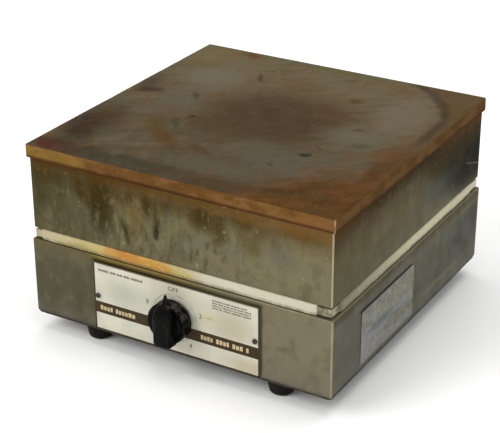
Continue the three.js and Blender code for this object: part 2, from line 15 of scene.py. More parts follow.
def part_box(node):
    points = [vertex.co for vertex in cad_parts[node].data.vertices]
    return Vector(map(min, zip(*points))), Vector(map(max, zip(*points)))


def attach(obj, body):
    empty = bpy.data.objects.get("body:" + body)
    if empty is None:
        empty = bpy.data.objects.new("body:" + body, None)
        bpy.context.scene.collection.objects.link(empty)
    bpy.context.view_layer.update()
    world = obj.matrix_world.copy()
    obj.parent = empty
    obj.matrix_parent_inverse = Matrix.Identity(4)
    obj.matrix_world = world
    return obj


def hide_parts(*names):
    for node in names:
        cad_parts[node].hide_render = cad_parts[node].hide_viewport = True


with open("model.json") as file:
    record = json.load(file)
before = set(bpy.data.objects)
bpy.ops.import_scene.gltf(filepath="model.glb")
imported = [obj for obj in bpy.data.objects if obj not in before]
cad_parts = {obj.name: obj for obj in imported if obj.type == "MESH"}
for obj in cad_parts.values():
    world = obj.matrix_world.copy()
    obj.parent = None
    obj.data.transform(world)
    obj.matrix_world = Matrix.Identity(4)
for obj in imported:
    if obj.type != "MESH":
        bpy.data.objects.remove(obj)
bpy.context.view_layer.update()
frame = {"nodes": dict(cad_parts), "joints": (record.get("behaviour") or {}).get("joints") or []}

MM = 0.001
SHELL_HALF = 150  # the shells' half width in millimetres, rounded
STAIN_DEPTH = 0.099  # how far a stain reaches along its third axis
scene = bpy.context.scene

PLATE_LOW, PLATE_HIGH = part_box("heating_plate")
HEAD_LOW, HEAD_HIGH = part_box("upper_shell")
BOX_LOW, BOX_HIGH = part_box("lower_shell")
PANEL_LOW, PANEL_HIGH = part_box("control_panel")
LABEL_LOW, LABEL_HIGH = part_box("data_label")
COVER_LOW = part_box("bottom_cover")[0]
MIDDLE = (PLATE_LOW + PLATE_HIGH) / 2
KNOB_AXIS = Vector(frame["joints"][0]["pos_m"])
CORNERS = ("front_left", "front_right", "back_left", "back_right")


# ---------------------------------------------------------------- paint


def rgb(red, green, blue):
    """A display colour, 0 to 255, as the linear colour that a shader takes."""

    def linear(value):
        value /= 255
        return value / 12.92 if value <= 0.04045 else ((value + 0.055) / 1.055) ** 2.4

    return (linear(red), linear(green), linear(blue), 1.0)


class Paint:
    """A material in the making. Most methods add nodes and give back a socket, and those
    that lay something change the colour so far.

    gain is how much brighter than its paint a surface is seen in this studio, and haze is
    the light that it mirrors on top of that.
    """

    def __init__(self, name, gain=1.0, haze=0.0, **finish):
        self.gain, self.haze = gain, haze
        self.material = bpy.data.materials.new(name)
        self.material.use_nodes = True
        self.tree = self.material.node_tree
        self.tree.nodes.clear()
        self.shader = self.tree.nodes.new("ShaderNodeBsdfPrincipled")
        output = self.tree.nodes.new("ShaderNodeOutputMaterial")
        self.tree.links.new(self.shader.outputs["BSDF"], output.inputs["Surface"])
        self.place = self.add("TexCoord", {}, output="Object")
        split = self.add("SeparateXYZ", {"Vector": self.place}).node
        self.x, self.y, self.z = split.outputs
        self.normal = self.colour = None
        for setting, value in finish.items():
            socket = setting.replace("_", " ").title().replace("Ior", "IOR")
            self.feed(self.shader.inputs[socket], value)

    def seen(self, red, green, blue):
        """The paint that is seen as this display colour, 0 to 255, in this studio."""
        paint = [max(0.0015, (c - self.haze) / self.gain) for c in rgb(red, green, blue)[:3]]
        return (*paint, 1.0)

    def feed(self, socket, value):
        if isinstance(value, bpy.types.NodeSocket):
            self.tree.links.new(value, socket)
        else:
            socket.default_value = value

    def add(self, kind, inputs, output=0, **settings):
        node = self.tree.nodes.new("ShaderNode" + kind)
        for name, value in settings.items():
            setattr(node, name, value)
        for name, value in inputs.items():
            self.feed(node.inputs[name], value)
        return node.outputs[output]

    def math(self, operation, *values):
        return self.add("Math", dict(enumerate(values)), operation=operation)

    def times(self, *values):
        result = values[0]
        for value in values[1:]:
            result = self.math("MULTIPLY", result, value)
        return result

    def plus(self, *values):
        result = values[0]
        for value in values[1:]:
            result = self.math("ADD", result, value)
        return result

    def most(self, one, two):
        return self.math("MAXIMUM", one, two)

    def off(self, value, middle):
        """How far a value is from its middle, on either side."""
        return self.math("ABSOLUTE", self.math("SUBTRACT", value, middle))

    def band(self, value, low, high, start=0.0, end=1.0):
        """start up to low, end from high on, and a smooth change between them."""
        inputs = {"Value": value, "From Min": low, "From Max": high, "To Min": start, "To Max": end}
        return self.add("MapRange", inputs, interpolation_type="SMOOTHSTEP")

    def noise(self, size, detail=3.0, stretch=(1, 1, 1), rough=0.55, at=None):
        """Noise from 0 to 1 whose lumps are about size metres across, longer where stretched."""
        scale = [1 / (size * s) for s in stretch]
        spot = self.add("Mapping", {"Vector": at or self.place, "Scale": scale})
        inputs = {"Vector": spot, "Scale": 1.0, "Detail": detail, "Roughness": rough}
        return self.add("TexNoise", inputs)

    def patches(self, size, detail, low, high, strength=1.0, **more):
        """A mask of noise: 0 where the noise is under low, strength where it is over high."""
        return self.band(self.noise(size, detail, **more), low, high, 0.0, strength)

    def varied(self, size, detail, least, most):
        """A value that wanders with noise between two limits."""
        return self.band(self.noise(size, detail), 0.3, 0.7, least, most)

    def specks(self, size, share):
        """Small round spots, size metres apart, each covering that share of its cell."""
        spot = self.add("Mapping", {"Vector": self.place, "Scale": [1 / size] * 3})
        near = self.add("TexVoronoi", {"Vector": spot, "Scale": 1.0})
        return self.band(near, share * 0.6, share, 1.0, 0.0)

    def apart(self, spot, middle, axes, floor=None):
        """How far a spot is from a middle along some axes, and never below a floor on each."""
        across = self.add("VectorMath", {0: spot, 1: middle}, operation="SUBTRACT")
        if floor:
            across = self.add("VectorMath", {0: across, 1: floor}, operation="MAXIMUM")
        flat = self.add("VectorMath", {0: across, 1: axes}, operation="MULTIPLY")
        return self.add("VectorMath", {0: flat}, output="Value", operation="LENGTH")

    def wander(self, size, amount, detail=2.0, rough=0.6):
        """The place on the surface, shifted about by up to amount, so that stains get ragged."""
        inputs = {"Vector": self.place, "Scale": 1 / size, "Detail": detail, "Roughness": rough}
        shift = self.add("TexNoise", inputs, output="Color")
        centred = self.add("VectorMath", {0: shift, 1: (0.5, 0.5, 0.5)}, operation="SUBTRACT")
        scaled = self.add("VectorMath", {0: centred, "Scale": 2 * amount}, operation="SCALE")
        return self.add("VectorMath", {0: self.place, 1: scaled}, operation="ADD")

    def blob(self, middle, reach, turn=0.0, at=None):
        """1 in the middle of a stain, falling to 0 at its reach."""
        inputs = {
            "Vector": at or self.place,
            "Location": middle,
            "Rotation": (0, 0, math.radians(turn)),
            "Scale": reach,
        }
        spot = self.add("Mapping", inputs, vector_type="TEXTURE")
        return self.add("TexGradient", {"Vector": spot}, output=1, gradient_type="SPHERICAL")

    def mix(self, share, under, over):
        """over laid on under by that share. A plain triple is the display colour to be seen."""
        tones = [self.seen(*c) if isinstance(c, tuple) and len(c) == 3 else c for c in (under, over)]
        return self.add("Mix", {0: share, 6: tones[0], 7: tones[1]}, output=2, data_type="RGBA")

    def lay(self, tone, *shares):
        """Lays a tone on the paint so far, as strongly as the product of its shares."""
        self.colour = self.mix(self.times(*shares), self.colour, tone)

    def clouded(self, lumps, *tones, where=()):
        """Lays tones by one noise. Each is a tone, the noise where it starts and where it is
        full, and its strength.
        """
        for tone, starts, full, strength in tones:
            self.lay(tone, self.band(lumps, starts, full, 0.0, strength), *where)

    def stained(self, stains, at, place, through=1):
        """Lays stains. Each is two numbers for its place, two for its reach in millimetres,
        its tone, its strength and perhaps a turn. through is the axis of its third reach.
        """
        for across, up, wide, tall, tone, strength, *turn in stains:
            reach = [wide * MM, tall * MM]
            reach.insert(through, STAIN_DEPTH)
            mask = self.blob(place(across, up), reach, turn[0] if turn else 0, at)
            self.lay(tone, self.band(self.times(mask, strength), 0.0, 1.0, 0.0, 0.9))

    def bump(self, height, depth, strength=1.0):
        inputs = {"Height": height, "Distance": depth, "Strength": strength}
        if self.normal:
            inputs["Normal"] = self.normal
        self.normal = self.add("Bump", inputs)

    def done(self, roughness):
        self.feed(self.shader.inputs["Base Color"], self.colour)
        self.feed(self.shader.inputs["Roughness"], roughness)
        if self.normal:
            self.feed(self.shader.inputs["Normal"], self.normal)
        return self.material


def from_middle(x, y, z):
    """A place given in millimetres from the middle of the plate, at a height in metres."""
    return (MIDDLE.x + x * MM, MIDDLE.y + y * MM, z)


def on_top(x, y):
    """A place on the top of the plate, in millimetres from its middle."""
    return from_middle(x, y, PLATE_HIGH.z)


def on_front(x, z):
    """A place on the front, in millimetres from its middle and from the floor."""
    return from_middle(x, -SHELL_HALF, z * MM)


def on_right(y, z):
    """A place on the right side, in millimetres from its middle and from the floor."""
    return from_middle(SHELL_HALF, y, z * MM)


def plate_steel():
    """Thick rolled steel, browned by years of heat and rusty along its edges."""
    p = Paint("plate_steel", gain=1.33, haze=0.012, metallic=0.25, specular_ior_level=0.06)
    ragged = p.wander(0.026, 0.012, 7.0, 0.72)
    half = PLATE_HIGH.x
    # The front is a little darker than the back, and both are mottled grey and brown.
    near_y, far_y = MIDDLE.y - half, MIDDLE.y + half
    p.colour = p.mix(p.band(p.y, near_y, far_y), (87, 77, 58), (108, 95, 71))
    mottle = p.noise(0.020, 5.0, stretch=(0.7, 1.5, 1), at=ragged)
    p.clouded(mottle, ((106, 78, 46), 0.51, 0.66, 0.55), ((98, 97, 76), 0.47, 0.33, 0.45))
    wiping = {"Vector": ragged, "Angle": math.radians(52)}
    slant = p.add("VectorRotate", wiping, rotation_type="Z_AXIS")
    wiped = p.noise(0.010, 5.0, stretch=(0.8, 4.5, 1), at=slant)
    p.clouded(wiped, ((116, 102, 76), 0.52, 0.68, 0.42), ((74, 60, 38), 0.47, 0.32, 0.42))
    stains = [
        (5, 10, 92, 88, (73, 57, 37), 1.5),
        (-25, -35, 66, 44, (80, 66, 45), 1.0, 20),
        (45, 45, 58, 42, (88, 68, 46), 0.7),
        (-20, 90, 70, 34, (104, 86, 58), 0.8),
        (-95, 75, 44, 56, (114, 104, 86), 1.2),
        (104, 72, 32, 66, (112, 102, 82), 1.5, 12),
        (92, 5, 44, 44, (106, 96, 78), 1.1),
        (50, -75, 66, 42, (93, 84, 69), 1.2),
        (20, -112, 76, 22, (93, 84, 67), 1.2),
        (-95, 0, 34, 52, (99, 88, 72), 1.0),
        (-133, 12, 22, 13, (64, 48, 36), 1.1, 20),
        (-143, 30, 18, 34, (74, 60, 46), 1.0, 10),
        (-124, -62, 22, 56, (78, 62, 45), 1.0, 25),
        (-134, -92, 28, 58, (60, 46, 32), 1.3, 20),
        (-118, -140, 54, 18, (74, 50, 36), 1.4),
        (-132, -143, 24, 10, (88, 40, 30), 1.0),
        (-50, -141, 96, 17, (68, 62, 46), 1.5),
        (48, -143, 92, 18, (80, 63, 43), 1.5),
        (-78, -58, 34, 15, (86, 72, 38), 1.2, -40),
        (-54, -80, 38, 13, (90, 62, 32), 1.2, -38),
        (-88, -64, 16, 7, (100, 78, 38), 1.0, -40),
        (-18, -84, 26, 9, (84, 62, 38), 1.2, -28),
        (-57, 92, 20, 3.5, (70, 54, 38), 1.2, -62),
        (-87, 20, 16, 5, (74, 66, 50), 1.3, -60),
        (-66, -46, 18, 5, (70, 64, 46), 1.3, -55),
        (-97, 144, 18, 12, (100, 66, 38), 1.1),
        (-130, 125, 44, 44, (114, 98, 64), 1.1),
        (0, 148, 160, 12, (98, 90, 56), 0.9),
        (75, 130, 28, 13, (108, 82, 50), 0.8, -20),
        (71, -52, 7, 5, (46, 44, 38), 1.6, 10),
        (55, -85, 6, 4, (64, 58, 48), 1.2, -30),
        (-61, -25, 7, 5, (60, 46, 36), 1.4, 15),
        (74, -33, 8, 2.5, (62, 54, 40), 1.5, -40),
        (52, 82, 12, 7, (86, 66, 38), 1.1, -20),
        (84, 20, 9, 6, (84, 74, 50), 1.2, 10),
        (104, -12, 16, 9, (84, 76, 52), 1.3, 35),
    ]
    p.stained(stains, ragged, on_top, through=2)
    # The heat has left a dark ring round the back right, and brown steel outside it.
    # The ring is round in the corner and runs straight along the right edge.
    ring_radius = 0.1115
    far = p.apart(p.wander(0.05, 0.007, 4.0), on_top(32, 52), (1, 1, 0), floor=(-1, 0, -1))
    back_right = p.times(p.band(p.x, 0.02, 0.10), p.band(p.y, MIDDLE.y - 0.03, MIDDLE.y + 0.04))
    p.lay((93, 72, 44), p.band(far, ring_radius - 0.0025, ring_radius + 0.0035), back_right, 0.85)
    p.lay((74, 58, 42), p.band(p.off(far, ring_radius), 0.001, 0.008, 1.0, 0.0), back_right, 0.85)
    # Rust creeps in from the right edge and fills the front right corner.
    patchy = p.noise(0.020, 6.0, stretch=(1.6, 0.8, 1), at=ragged)
    corner = p.blob(on_top(165, -158), (0.122, 0.106, 1.0), 0, ragged)
    rim = p.band(p.plus(p.x, p.times(p.band(patchy, 0.3, 0.7), 0.012)), half - 0.030, half - 0.006)
    rim = p.times(rim, p.band(p.y, MIDDLE.y + 0.035, MIDDLE.y - 0.015))
    tongue = p.blob(on_top(118, -72), (0.052, 0.013, 1.0), 12, ragged)
    rusty = p.most(p.band(corner, 0.02, 0.30), p.times(rim, 0.9))
    rusty = p.most(rusty, p.band(tongue, 0.02, 0.75, 0.0, 0.6))
    rust = p.mix(p.band(patchy, 0.38, 0.60), (90, 66, 38), (104, 71, 42))
    rust = p.mix(p.band(wiped, 0.50, 0.66, 0.0, 0.55), rust, (112, 78, 44))
    rust = p.mix(p.band(wiped, 0.46, 0.32, 0.0, 0.40), rust, (76, 56, 30))
    p.lay(rust, rusty, p.band(patchy, 0.25, 0.5, 0.75, 1.0))
    scorches = [
        (84, -126, 46, 12, (80, 60, 40), 1.2, 22),
        (112, -104, 30, 8, (84, 64, 42), 0.7, 30),
        (128, -128, 26, 7, (84, 58, 36), 0.9, 40),
        (139, -52, 12, 44, (84, 60, 34), 0.9),
    ]
    p.stained(scorches, ragged, on_top, through=2)
    # Fine rolling lines, scratches, pits and pale scuffs.
    lines = p.noise(0.0026, 4.0, stretch=(1, 5, 1), at=p.wander(0.02, 0.002))
    p.clouded(lines, ((132, 122, 100), 0.52, 0.76, 0.16), ((66, 54, 38), 0.48, 0.26, 0.18))
    pits = p.specks(0.0055, 0.16)
    dirty = p.patches(0.03, 3.0, 0.45, 0.6)
    p.lay((52, 40, 28), pits, dirty, 0.6)
    # The sides are bare rust: golden at the left, red brown further along, duller at the right.
    # They stand in weaker light than the top.
    p.gain = 1.16
    along = p.noise(0.013, 5.0, stretch=(1.4, 1.4, 0.8))
    top = p.colour
    p.colour = p.mix(p.band(along, 0.36, 0.62), (110, 80, 46), (130, 96, 58))
    p.lay((104, 74, 44), p.band(p.off(p.x, -0.020), 0.035, 0.075, 0.75, 0.0))
    gold = p.mix(p.band(along, 0.4, 0.6), (130, 102, 54), (142, 110, 60))
    p.lay(gold, p.band(p.x, -0.080, -0.110), 0.9)
    p.lay((74, 46, 22), p.patches(0.005, 4.0, 0.55, 0.72, 0.25))
    p.lay((158, 120, 78), p.patches(0.0035, 4.0, 0.58, 0.74, 0.4))
    peach = p.patches(0.013, 3.0, 0.55, 0.64, 0.5, stretch=(1.5, 1, 0.6))
    p.lay((140, 98, 66), peach, p.band(p.x, -0.10, -0.08, 0.3, 1.0))
    p.lay((136, 96, 60), p.band(p.x, 0.110, 0.140, 0.0, 0.6))
    duller = p.mix(p.band(along, 0.38, 0.6), (82, 60, 32), (102, 76, 44))
    p.lay(duller, p.band(p.x, half - 0.0012, half - 0.0003), 0.8)
    p.lay((58, 36, 16), p.band(p.z, PLATE_LOW.z + 0.0040, PLATE_LOW.z + 0.0006), 0.75)
    side_face = p.band(p.z, PLATE_HIGH.z - 0.0002, PLATE_HIGH.z - 0.0009)
    p.colour = p.mix(side_face, top, p.colour)
    # The upright corner at the front right carries a pale painted highlight.
    highlight_x = p.band(p.x, half - 0.0016, half - 0.0006)
    highlight_y = p.band(p.y, MIDDLE.y - half + 0.0016, MIDDLE.y - half + 0.0006)
    wear_and_highlight = p.times(highlight_x, highlight_y, p.band(p.noise(0.004, 4.0), 0.35, 0.6, 0.4, 0.95))
    p.lay((176, 152, 118), wear_and_highlight)
    p.bump(p.noise(0.012, 5.0), 0.00035, 0.35)
    p.bump(p.plus(p.noise(0.0016, 4.0), p.times(pits, -0.8)), 0.00012, 0.5)
    rough = p.varied(0.03, 4.0, 0.46, 0.66)
    rough = p.most(rough, p.times(p.most(rusty, side_face), 0.78))
    return p.done(rough)


def on_box(p):
    """1 on the control box and 0 on the head, with the change in the gap between them."""
    return p.band(p.z, BOX_HIGH.z + 0.004, BOX_HIGH.z + 0.001)


def towards_top_back(p, start, end):
    """0 at the front, rising to 1 towards the back of the head, and sooner near its top."""
    drop = p.plus(p.y, p.times(p.z, 1.5))
    return p.band(drop, MIDDLE.y + start, MIDDLE.y + end)


def steel_on_front(p, ragged):
    """The front: darker at the left, brown under the plate, with long vertical marks."""
    p.colour = p.mix(p.band(p.x, -0.13, 0.11), (94, 87, 63), (133, 125, 98))
    mottle = p.noise(0.017, 4.0, stretch=(1, 1, 1.3), rough=0.5)
    p.clouded(mottle, ((134, 126, 98), 0.50, 0.68, 0.40), ((84, 80, 52), 0.48, 0.30, 0.40))
    stains = [
        (-78, 144, 23, 44, (58, 46, 20), 1.25),
        (-97, 152, 11, 16, (60, 48, 20), 1.0),
        (-120, 136, 18, 30, (80, 74, 50), 0.7),
        (-52, 108, 26, 8, (122, 114, 84), 0.9),
        (20, 128, 16, 14, (118, 118, 96), 0.8),
        (-56, 152, 9, 18, (120, 108, 74), 1.4),
        (-39, 138, 12, 34, (114, 98, 62), 1.5),
        (-49, 120, 4.5, 18, (62, 52, 24), 1.0),
        (-28, 152, 9, 18, (70, 56, 26), 1.1),
        (-19, 136, 5, 30, (66, 54, 24), 1.0),
        (-19, 129, 3.5, 9, (28, 26, 10), 1.2),
        (-1, 136, 20, 22, (114, 108, 82), 1.1),
        (27, 154, 18, 20, (78, 60, 24), 1.0),
        (44, 145, 15, 22, (84, 72, 42), 1.1),
        (47, 119, 14, 8, (130, 118, 92), 1.0),
        (76, 140, 18, 18, (104, 92, 60), 0.9),
        (70, 160, 22, 12, (94, 72, 34), 0.9),
        (120, 161, 36, 9, (112, 90, 52), 1.2),
        (-142, 142, 18, 36, (74, 67, 44), 1.2),
        (104, 137, 22, 18, (118, 113, 96), 1.1),
        (8, 116, 24, 9, (114, 105, 76), 1.0),
        (8, 122, 12, 16, (106, 107, 88), 1.0),
        (-36, 152, 8, 14, (132, 118, 84), 1.1),
        (-2, 146, 10, 12, (124, 118, 94), 0.9),
        (60, 132, 14, 14, (118, 116, 96), 0.8),
    ]
    p.stained(stains, ragged, on_front)
    # Marks run down the sheet, strongest on the head and left of the middle.
    runs = p.noise(0.0070, 4.0, stretch=(1, 1, 2.3), rough=0.58)
    central = p.band(p.off(p.x, -0.010), 0.050, 0.095, 1.0, 0.16)
    busy = p.times(p.band(p.z, BOX_HIGH.z, HEAD_LOW.z, 0.10, 1.0), central)
    pale = p.mix(p.band(p.z, 0.115, 0.15), (128, 126, 98), (128, 112, 66))
    p.clouded(runs, (pale, 0.51, 0.66, 0.78), ((66, 56, 26), 0.48, 0.32, 0.60), where=[busy])
    # The box is a cooler grey, and paler near the floor and along its top fold.
    head = p.colour
    along = p.band(p.x, -0.10, 0.10)
    p.colour = p.mix(along, (94, 91, 75), (138, 129, 108))
    p.lay(p.mix(along, (110, 108, 96), (134, 129, 113)), p.band(p.z, 0.038, 0.024))
    cloud = p.noise(0.012, 4.0, stretch=(1, 1, 1.7), rough=0.6)
    p.clouded(cloud, ((134, 130, 110), 0.50, 0.66, 0.35), ((72, 70, 52), 0.47, 0.32, 0.35))
    p.lay(p.mix(along, (114, 106, 80), (138, 130, 106)), p.band(p.z, 0.074, 0.088))
    return p.mix(p.times(on_box(p), 0.66), head, p.colour)


def steel_on_right(p, ragged):
    """The right side: olive near the front, falling to a brown black of painted shade at the back of
    the head.
    """
    p.colour = p.mix(p.band(p.z, 0.105, 0.165), (97, 92, 66), (90, 77, 34))
    right = p.band(p.x, HEAD_HIGH.x - 0.0015, HEAD_HIGH.x - 0.0005)
    shaded_back = p.times(towards_top_back(p, 0.200, 0.300), p.band(right, 0.0, 1.0, 0.35, 1.0))
    # Painted shade: dark towards the back of the head, and dark brown in a band just under the plate.
    shade_tone = p.mix(p.band(p.z, 0.118, 0.142), (90, 90, 76), (55, 51, 35))
    shade_tone = p.mix(p.band(p.z, 0.144, 0.160), shade_tone, (46, 34, 8))
    p.lay(shade_tone, shaded_back)
    box = on_box(p)
    cool = p.mix(p.band(p.y, MIDDLE.y - 0.02, MIDDLE.y + 0.03), (104, 102, 90), (97, 94, 78))
    p.lay(p.mix(p.band(p.z, 0.045, 0.028, 0.0, 0.6), cool, (116, 114, 100)), box)
    mottle = p.noise(0.026, 3.0, stretch=(1, 1, 1.2), rough=0.5)
    lit = p.band(shaded_back, 0.0, 0.6, 1.0, 0.1)
    p.lay((106, 100, 76), p.band(mottle, 0.52, 0.68, 0.0, 0.30), lit)
    p.lay((66, 64, 46), p.band(mottle, 0.46, 0.30, 0.0, 0.30))
    stains = [
        (-120, 150, 26, 30, (96, 88, 58), 0.8),
        (-75, 158, 30, 14, (84, 66, 42), 1.0),
        (-30, 130, 44, 26, (98, 90, 62), 0.8),
        (55, 128, 34, 16, (76, 78, 70), 1.0, -20),
        # These two rows and the row at 147 mm darken the back edge: painted shade.
        (140, 122, 18, 24, (38, 40, 30), 1.3),
        (146, 140, 12, 40, (34, 30, 18), 1.3),
        (-118, 55, 30, 30, (104, 103, 94), 0.9),
        (110, 62, 40, 22, (82, 84, 68), 1.0),
        (20, 62, 36, 20, (96, 94, 76), 0.8),
        (82, 33, 13, 3.5, (122, 119, 102), 1.3, 4),
        (147, 60, 10, 50, (66, 66, 64), 1.2),
        (136, 82, 20, 6, (96, 96, 58), 1.2),
    ]
    # The third reach of these stains is along the side, so each is a long soft band.
    p.stained(stains, ragged, on_right)
    # Painted shade hangs under the strip, and a painted shadow lies along the top of the label.
    under = p.times(p.band(p.z, 0.080, 0.088), p.band(p.noise(0.02), 0.3, 0.6, 0.6, 1.0), box)
    p.lay((74, 66, 38), under, 0.75)
    top, near, far = LABEL_HIGH.z, LABEL_LOW.y, LABEL_HIGH.y
    over = p.times(p.band(p.z, top + 0.0034, top + 0.0022), p.band(p.z, top - 0.001, top))
    over = p.times(over, p.band(p.y, near - 0.006, near), p.band(p.y, far - 0.001, far - 0.008), right)
    p.lay((34, 33, 24), over, p.band(p.noise(0.005), 0.3, 0.5, 0.65, 0.95))
    # One long pale scratch near the back.
    rise = p.plus(p.times(p.math("SUBTRACT", p.y, MIDDLE.y + 0.132), 0.34), p.z)
    scratch = p.band(p.off(rise, 0.1246), 0.0003, 0.0009, 1, 0)
    back = p.band(p.y, MIDDLE.y + 0.117, MIDDLE.y + 0.122)
    p.lay((112, 126, 104), scratch, back, right, 0.6)
    return p.colour


def shell_steel():
    """Bent stainless sheet: brown under the plate from stain and painted reflection, with runs,
    flecks, painted shade and painted highlights on the folds.
    """
    p = Paint(
        "shell_steel", gain=1.3, haze=0.006, metallic=0.72, specular_ior_level=0.06,
        specular_tint=(0.95, 0.94, 0.90, 1),
    )
    ragged = p.wander(0.016, 0.006, 6.0, 0.72)
    front = p.band(p.y, MIDDLE.y - 0.1490, MIDDLE.y - 0.1500)
    p.colour = p.mix(front, steel_on_right(p, ragged), steel_on_front(p, ragged))
    # Brown hangs from under the plate on every side of the head: partly real stain and drips, partly a
    # painted reflection of the rusty plate, and on the right side painted shade under the plate.
    head = p.band(p.z, HEAD_LOW.z - 0.004, HEAD_LOW.z - 0.002)
    fringe = p.noise(0.008, 5.0, stretch=(1, 1, 3.2), at=ragged)
    depth = p.band(p.z, HEAD_HIGH.z - 0.052, HEAD_HIGH.z - 0.002)
    stain_and_reflection = p.band(p.plus(p.times(depth, 0.9), p.times(fringe, 0.7)), 0.62, 1.30)
    dripped = p.plus(p.z, p.times(p.math("SUBTRACT", fringe, 0.5), 0.020))
    rim = p.band(dripped, HEAD_HIGH.z - 0.013, HEAD_HIGH.z - 0.005)
    stain_and_reflection = p.most(p.times(stain_and_reflection, 0.75), p.times(rim, 0.85))
    brown = p.mix(p.band(p.x, -0.1, 0.14), (86, 59, 20), (120, 86, 42))
    side_brown = p.mix(p.band(p.y, MIDDLE.y - 0.13, MIDDLE.y - 0.06), (78, 54, 14), (58, 42, 8))
    side_brown = p.mix(p.band(p.y, MIDDLE.y + 0.02, MIDDLE.y + 0.10), side_brown, (88, 62, 10))
    upper = p.mix(p.times(front, p.band(p.x, 0.04, 0.12)), (68, 52, 20), (100, 78, 40))
    brown = p.mix(rim, upper, p.mix(front, side_brown, brown))
    p.lay(brown, stain_and_reflection, head)
    # Fine vertical marks: pale hard water, dark scale, and a few bright flecks.
    streaks = p.patches(0.0048, 4.0, 0.56, 0.74, stretch=(1, 1, 2.6), rough=0.62)
    dense = p.band(p.noise(0.045, 2.0), 0.40, 0.58, 0.2, 1.0)
    area = p.times(head, p.band(front, 0.0, 1.0, 0.35, 1.0), dense)
    p.lay((138, 128, 92), streaks, area, 0.42)
    scaly = p.patches(0.0050, 4.0, 0.56, 0.72, stretch=(0.9, 1, 2.6), rough=0.62)
    calm = p.band(p.x, 0.0, 0.05, 1.0, 0.3)
    p.lay((58, 48, 20), scaly, area, calm, 0.34)
    flecks = p.patches(0.0040, 4.0, 0.64, 0.70, stretch=(1.5, 1, 1.2), rough=0.66)
    p.lay((176, 166, 124), flecks, area, 0.75)
    blotch = p.patches(0.016, 5.0, 0.52, 0.68)
    p.lay((84, 76, 50), blotch, 0.22)
    # A painted reflection lies along the top fold of the box, and painted shade on the front above the
    # front panel: brown olive near the fold and dark just above the panel.
    fold, panel_top = BOX_HIGH.z, PANEL_HIGH.z
    under_gap = p.band(p.z, fold + 0.002, fold + 0.0005)
    deck = p.times(p.band(p.z, fold - 0.0018, fold - 0.0008), under_gap)
    deck_reflection = p.mix(p.band(p.x, -0.02, 0.11), (104, 92, 60), (134, 128, 104))
    p.lay(deck_reflection, deck, 0.8)
    over_panel = p.band(p.math("ABSOLUTE", p.x), 0.090, 0.083)
    above = p.times(over_panel, front, p.band(p.z, panel_top - 0.001, panel_top + 0.0002), under_gap)
    to_right = p.band(p.x, -0.02, 0.06)
    grime_and_shade = p.mix(to_right, (124, 106, 62), (120, 115, 90))
    dark = p.mix(to_right, (58, 50, 22), (76, 74, 54))
    p.lay(p.mix(p.band(p.z, fold - 0.0012, panel_top + 0.0012), grime_and_shade, dark), above, 0.9)
    foot = p.band(p.z, BOX_LOW.z + 0.0040, BOX_LOW.z + 0.0010)
    p.lay((58, 56, 46), foot, p.band(front, 0.0, 1.0, 0.6, 0.25))
    # The corner folds carry pale painted highlights, strongest at the front right.
    p.lay((186, 176, 146), fold_highlights(p, HEAD_LOW, HEAD_HIGH))
    p.lay((172, 164, 132), fold_highlights(p, BOX_LOW, BOX_HIGH))
    p.bump(p.noise(0.03, 3.0), 0.0004, 0.25)
    p.bump(p.noise(0.0012, 3.0, stretch=(30, 30, 0.5)), 0.00003, 0.35)
    rough = p.varied(0.02, 4.0, 0.42, 0.56)
    rough = p.most(rough, p.times(stain_and_reflection, head, 0.66))
    # The painted shade at the back of the right side and in the band under the plate is also made less
    # metallic and rougher.
    top_band = p.band(p.z, 0.146, 0.163, 0.0, 0.9)
    shaded_and_dull = p.most(towards_top_back(p, 0.190, 0.280), p.most(rim, top_band))
    shaded_and_dull = p.times(shaded_and_dull, p.band(p.x, 0.14, 0.149), head)
    p.feed(p.shader.inputs["Metallic"], p.band(shaded_and_dull, 0.0, 1.0, 0.72, 0.1))
    return p.done(p.most(rough, p.times(shaded_and_dull, 0.7)))


def fold_highlights(p, low, high):
    """Where painted highlights lie on the upright folds between these heights: fully at the front
    right.
    """
    between = p.times(p.band(p.z, low.z, low.z + 0.0015), p.band(p.z, high.z, high.z - 0.0015))
    half, reach = high.x, 0.0016
    side = p.band(p.math("ABSOLUTE", p.x), half - reach, half - reach * 0.5)
    face = p.band(p.off(p.y, MIDDLE.y), half - reach, half - reach * 0.5)
    share = p.times(p.band(p.x, 0, 0.01, 0.25, 1.0), p.band(p.y, MIDDLE.y, MIDDLE.y - 0.01, 0.12, 1.0))
    patchy = p.band(p.noise(0.010, 3.0, stretch=(1, 1, 3)), 0.30, 0.55, 0.65, 0.95)
    return p.times(between, side, face, share, patchy)


def mottled(name, tones, cloud, spots, grain, rough, **finish):
    """A plain material: clouds of one tone on another, spots of a third, and a fine grain.

    cloud and spots are the arguments of their patches: size, detail, low, high and strength.
    grain is the size, detail, depth and strength of its bump, and rough is like varied().
    """
    p = Paint(name, **finish)
    ground, light, spot = tones
    p.colour = p.mix(p.patches(*cloud), ground, light)
    p.lay(spot, p.patches(*spots))
    size, detail, depth, strength = grain
    p.bump(p.noise(size, detail), depth, strength)
    return p.done(p.varied(*rough))


def sheet_steel(name, dark, light, smooth, rough, metallic, rust):
    """Plated or bare steel of small parts, with dull patches and a little rust."""
    return mottled(
        name, (dark, light, (96, 62, 34)), cloud=(0.018, 4.0, 0.35, 0.68),
        spots=(0.006, 5.0, 0.56, 0.7, rust), grain=(0.0012, 3.0, 0.00005, 0.4),
        rough=(0.01, 4.0, smooth, rough), metallic=metallic,
    )


def element_tube():
    """Sheathed heater tube, oxidised to a mottled dark grey and brown, with paler scale."""
    return mottled(
        "element_tube", ((62, 58, 56), (92, 74, 66), (118, 112, 104)),
        cloud=(0.03, 4.0, 0.4, 0.62), spots=(0.004, 5.0, 0.52, 0.66, 0.6),
        grain=(0.0015, 4.0, 0.00012, 0.5), rough=(0.008, 3.0, 0.55, 0.75), metallic=0.55,
    )


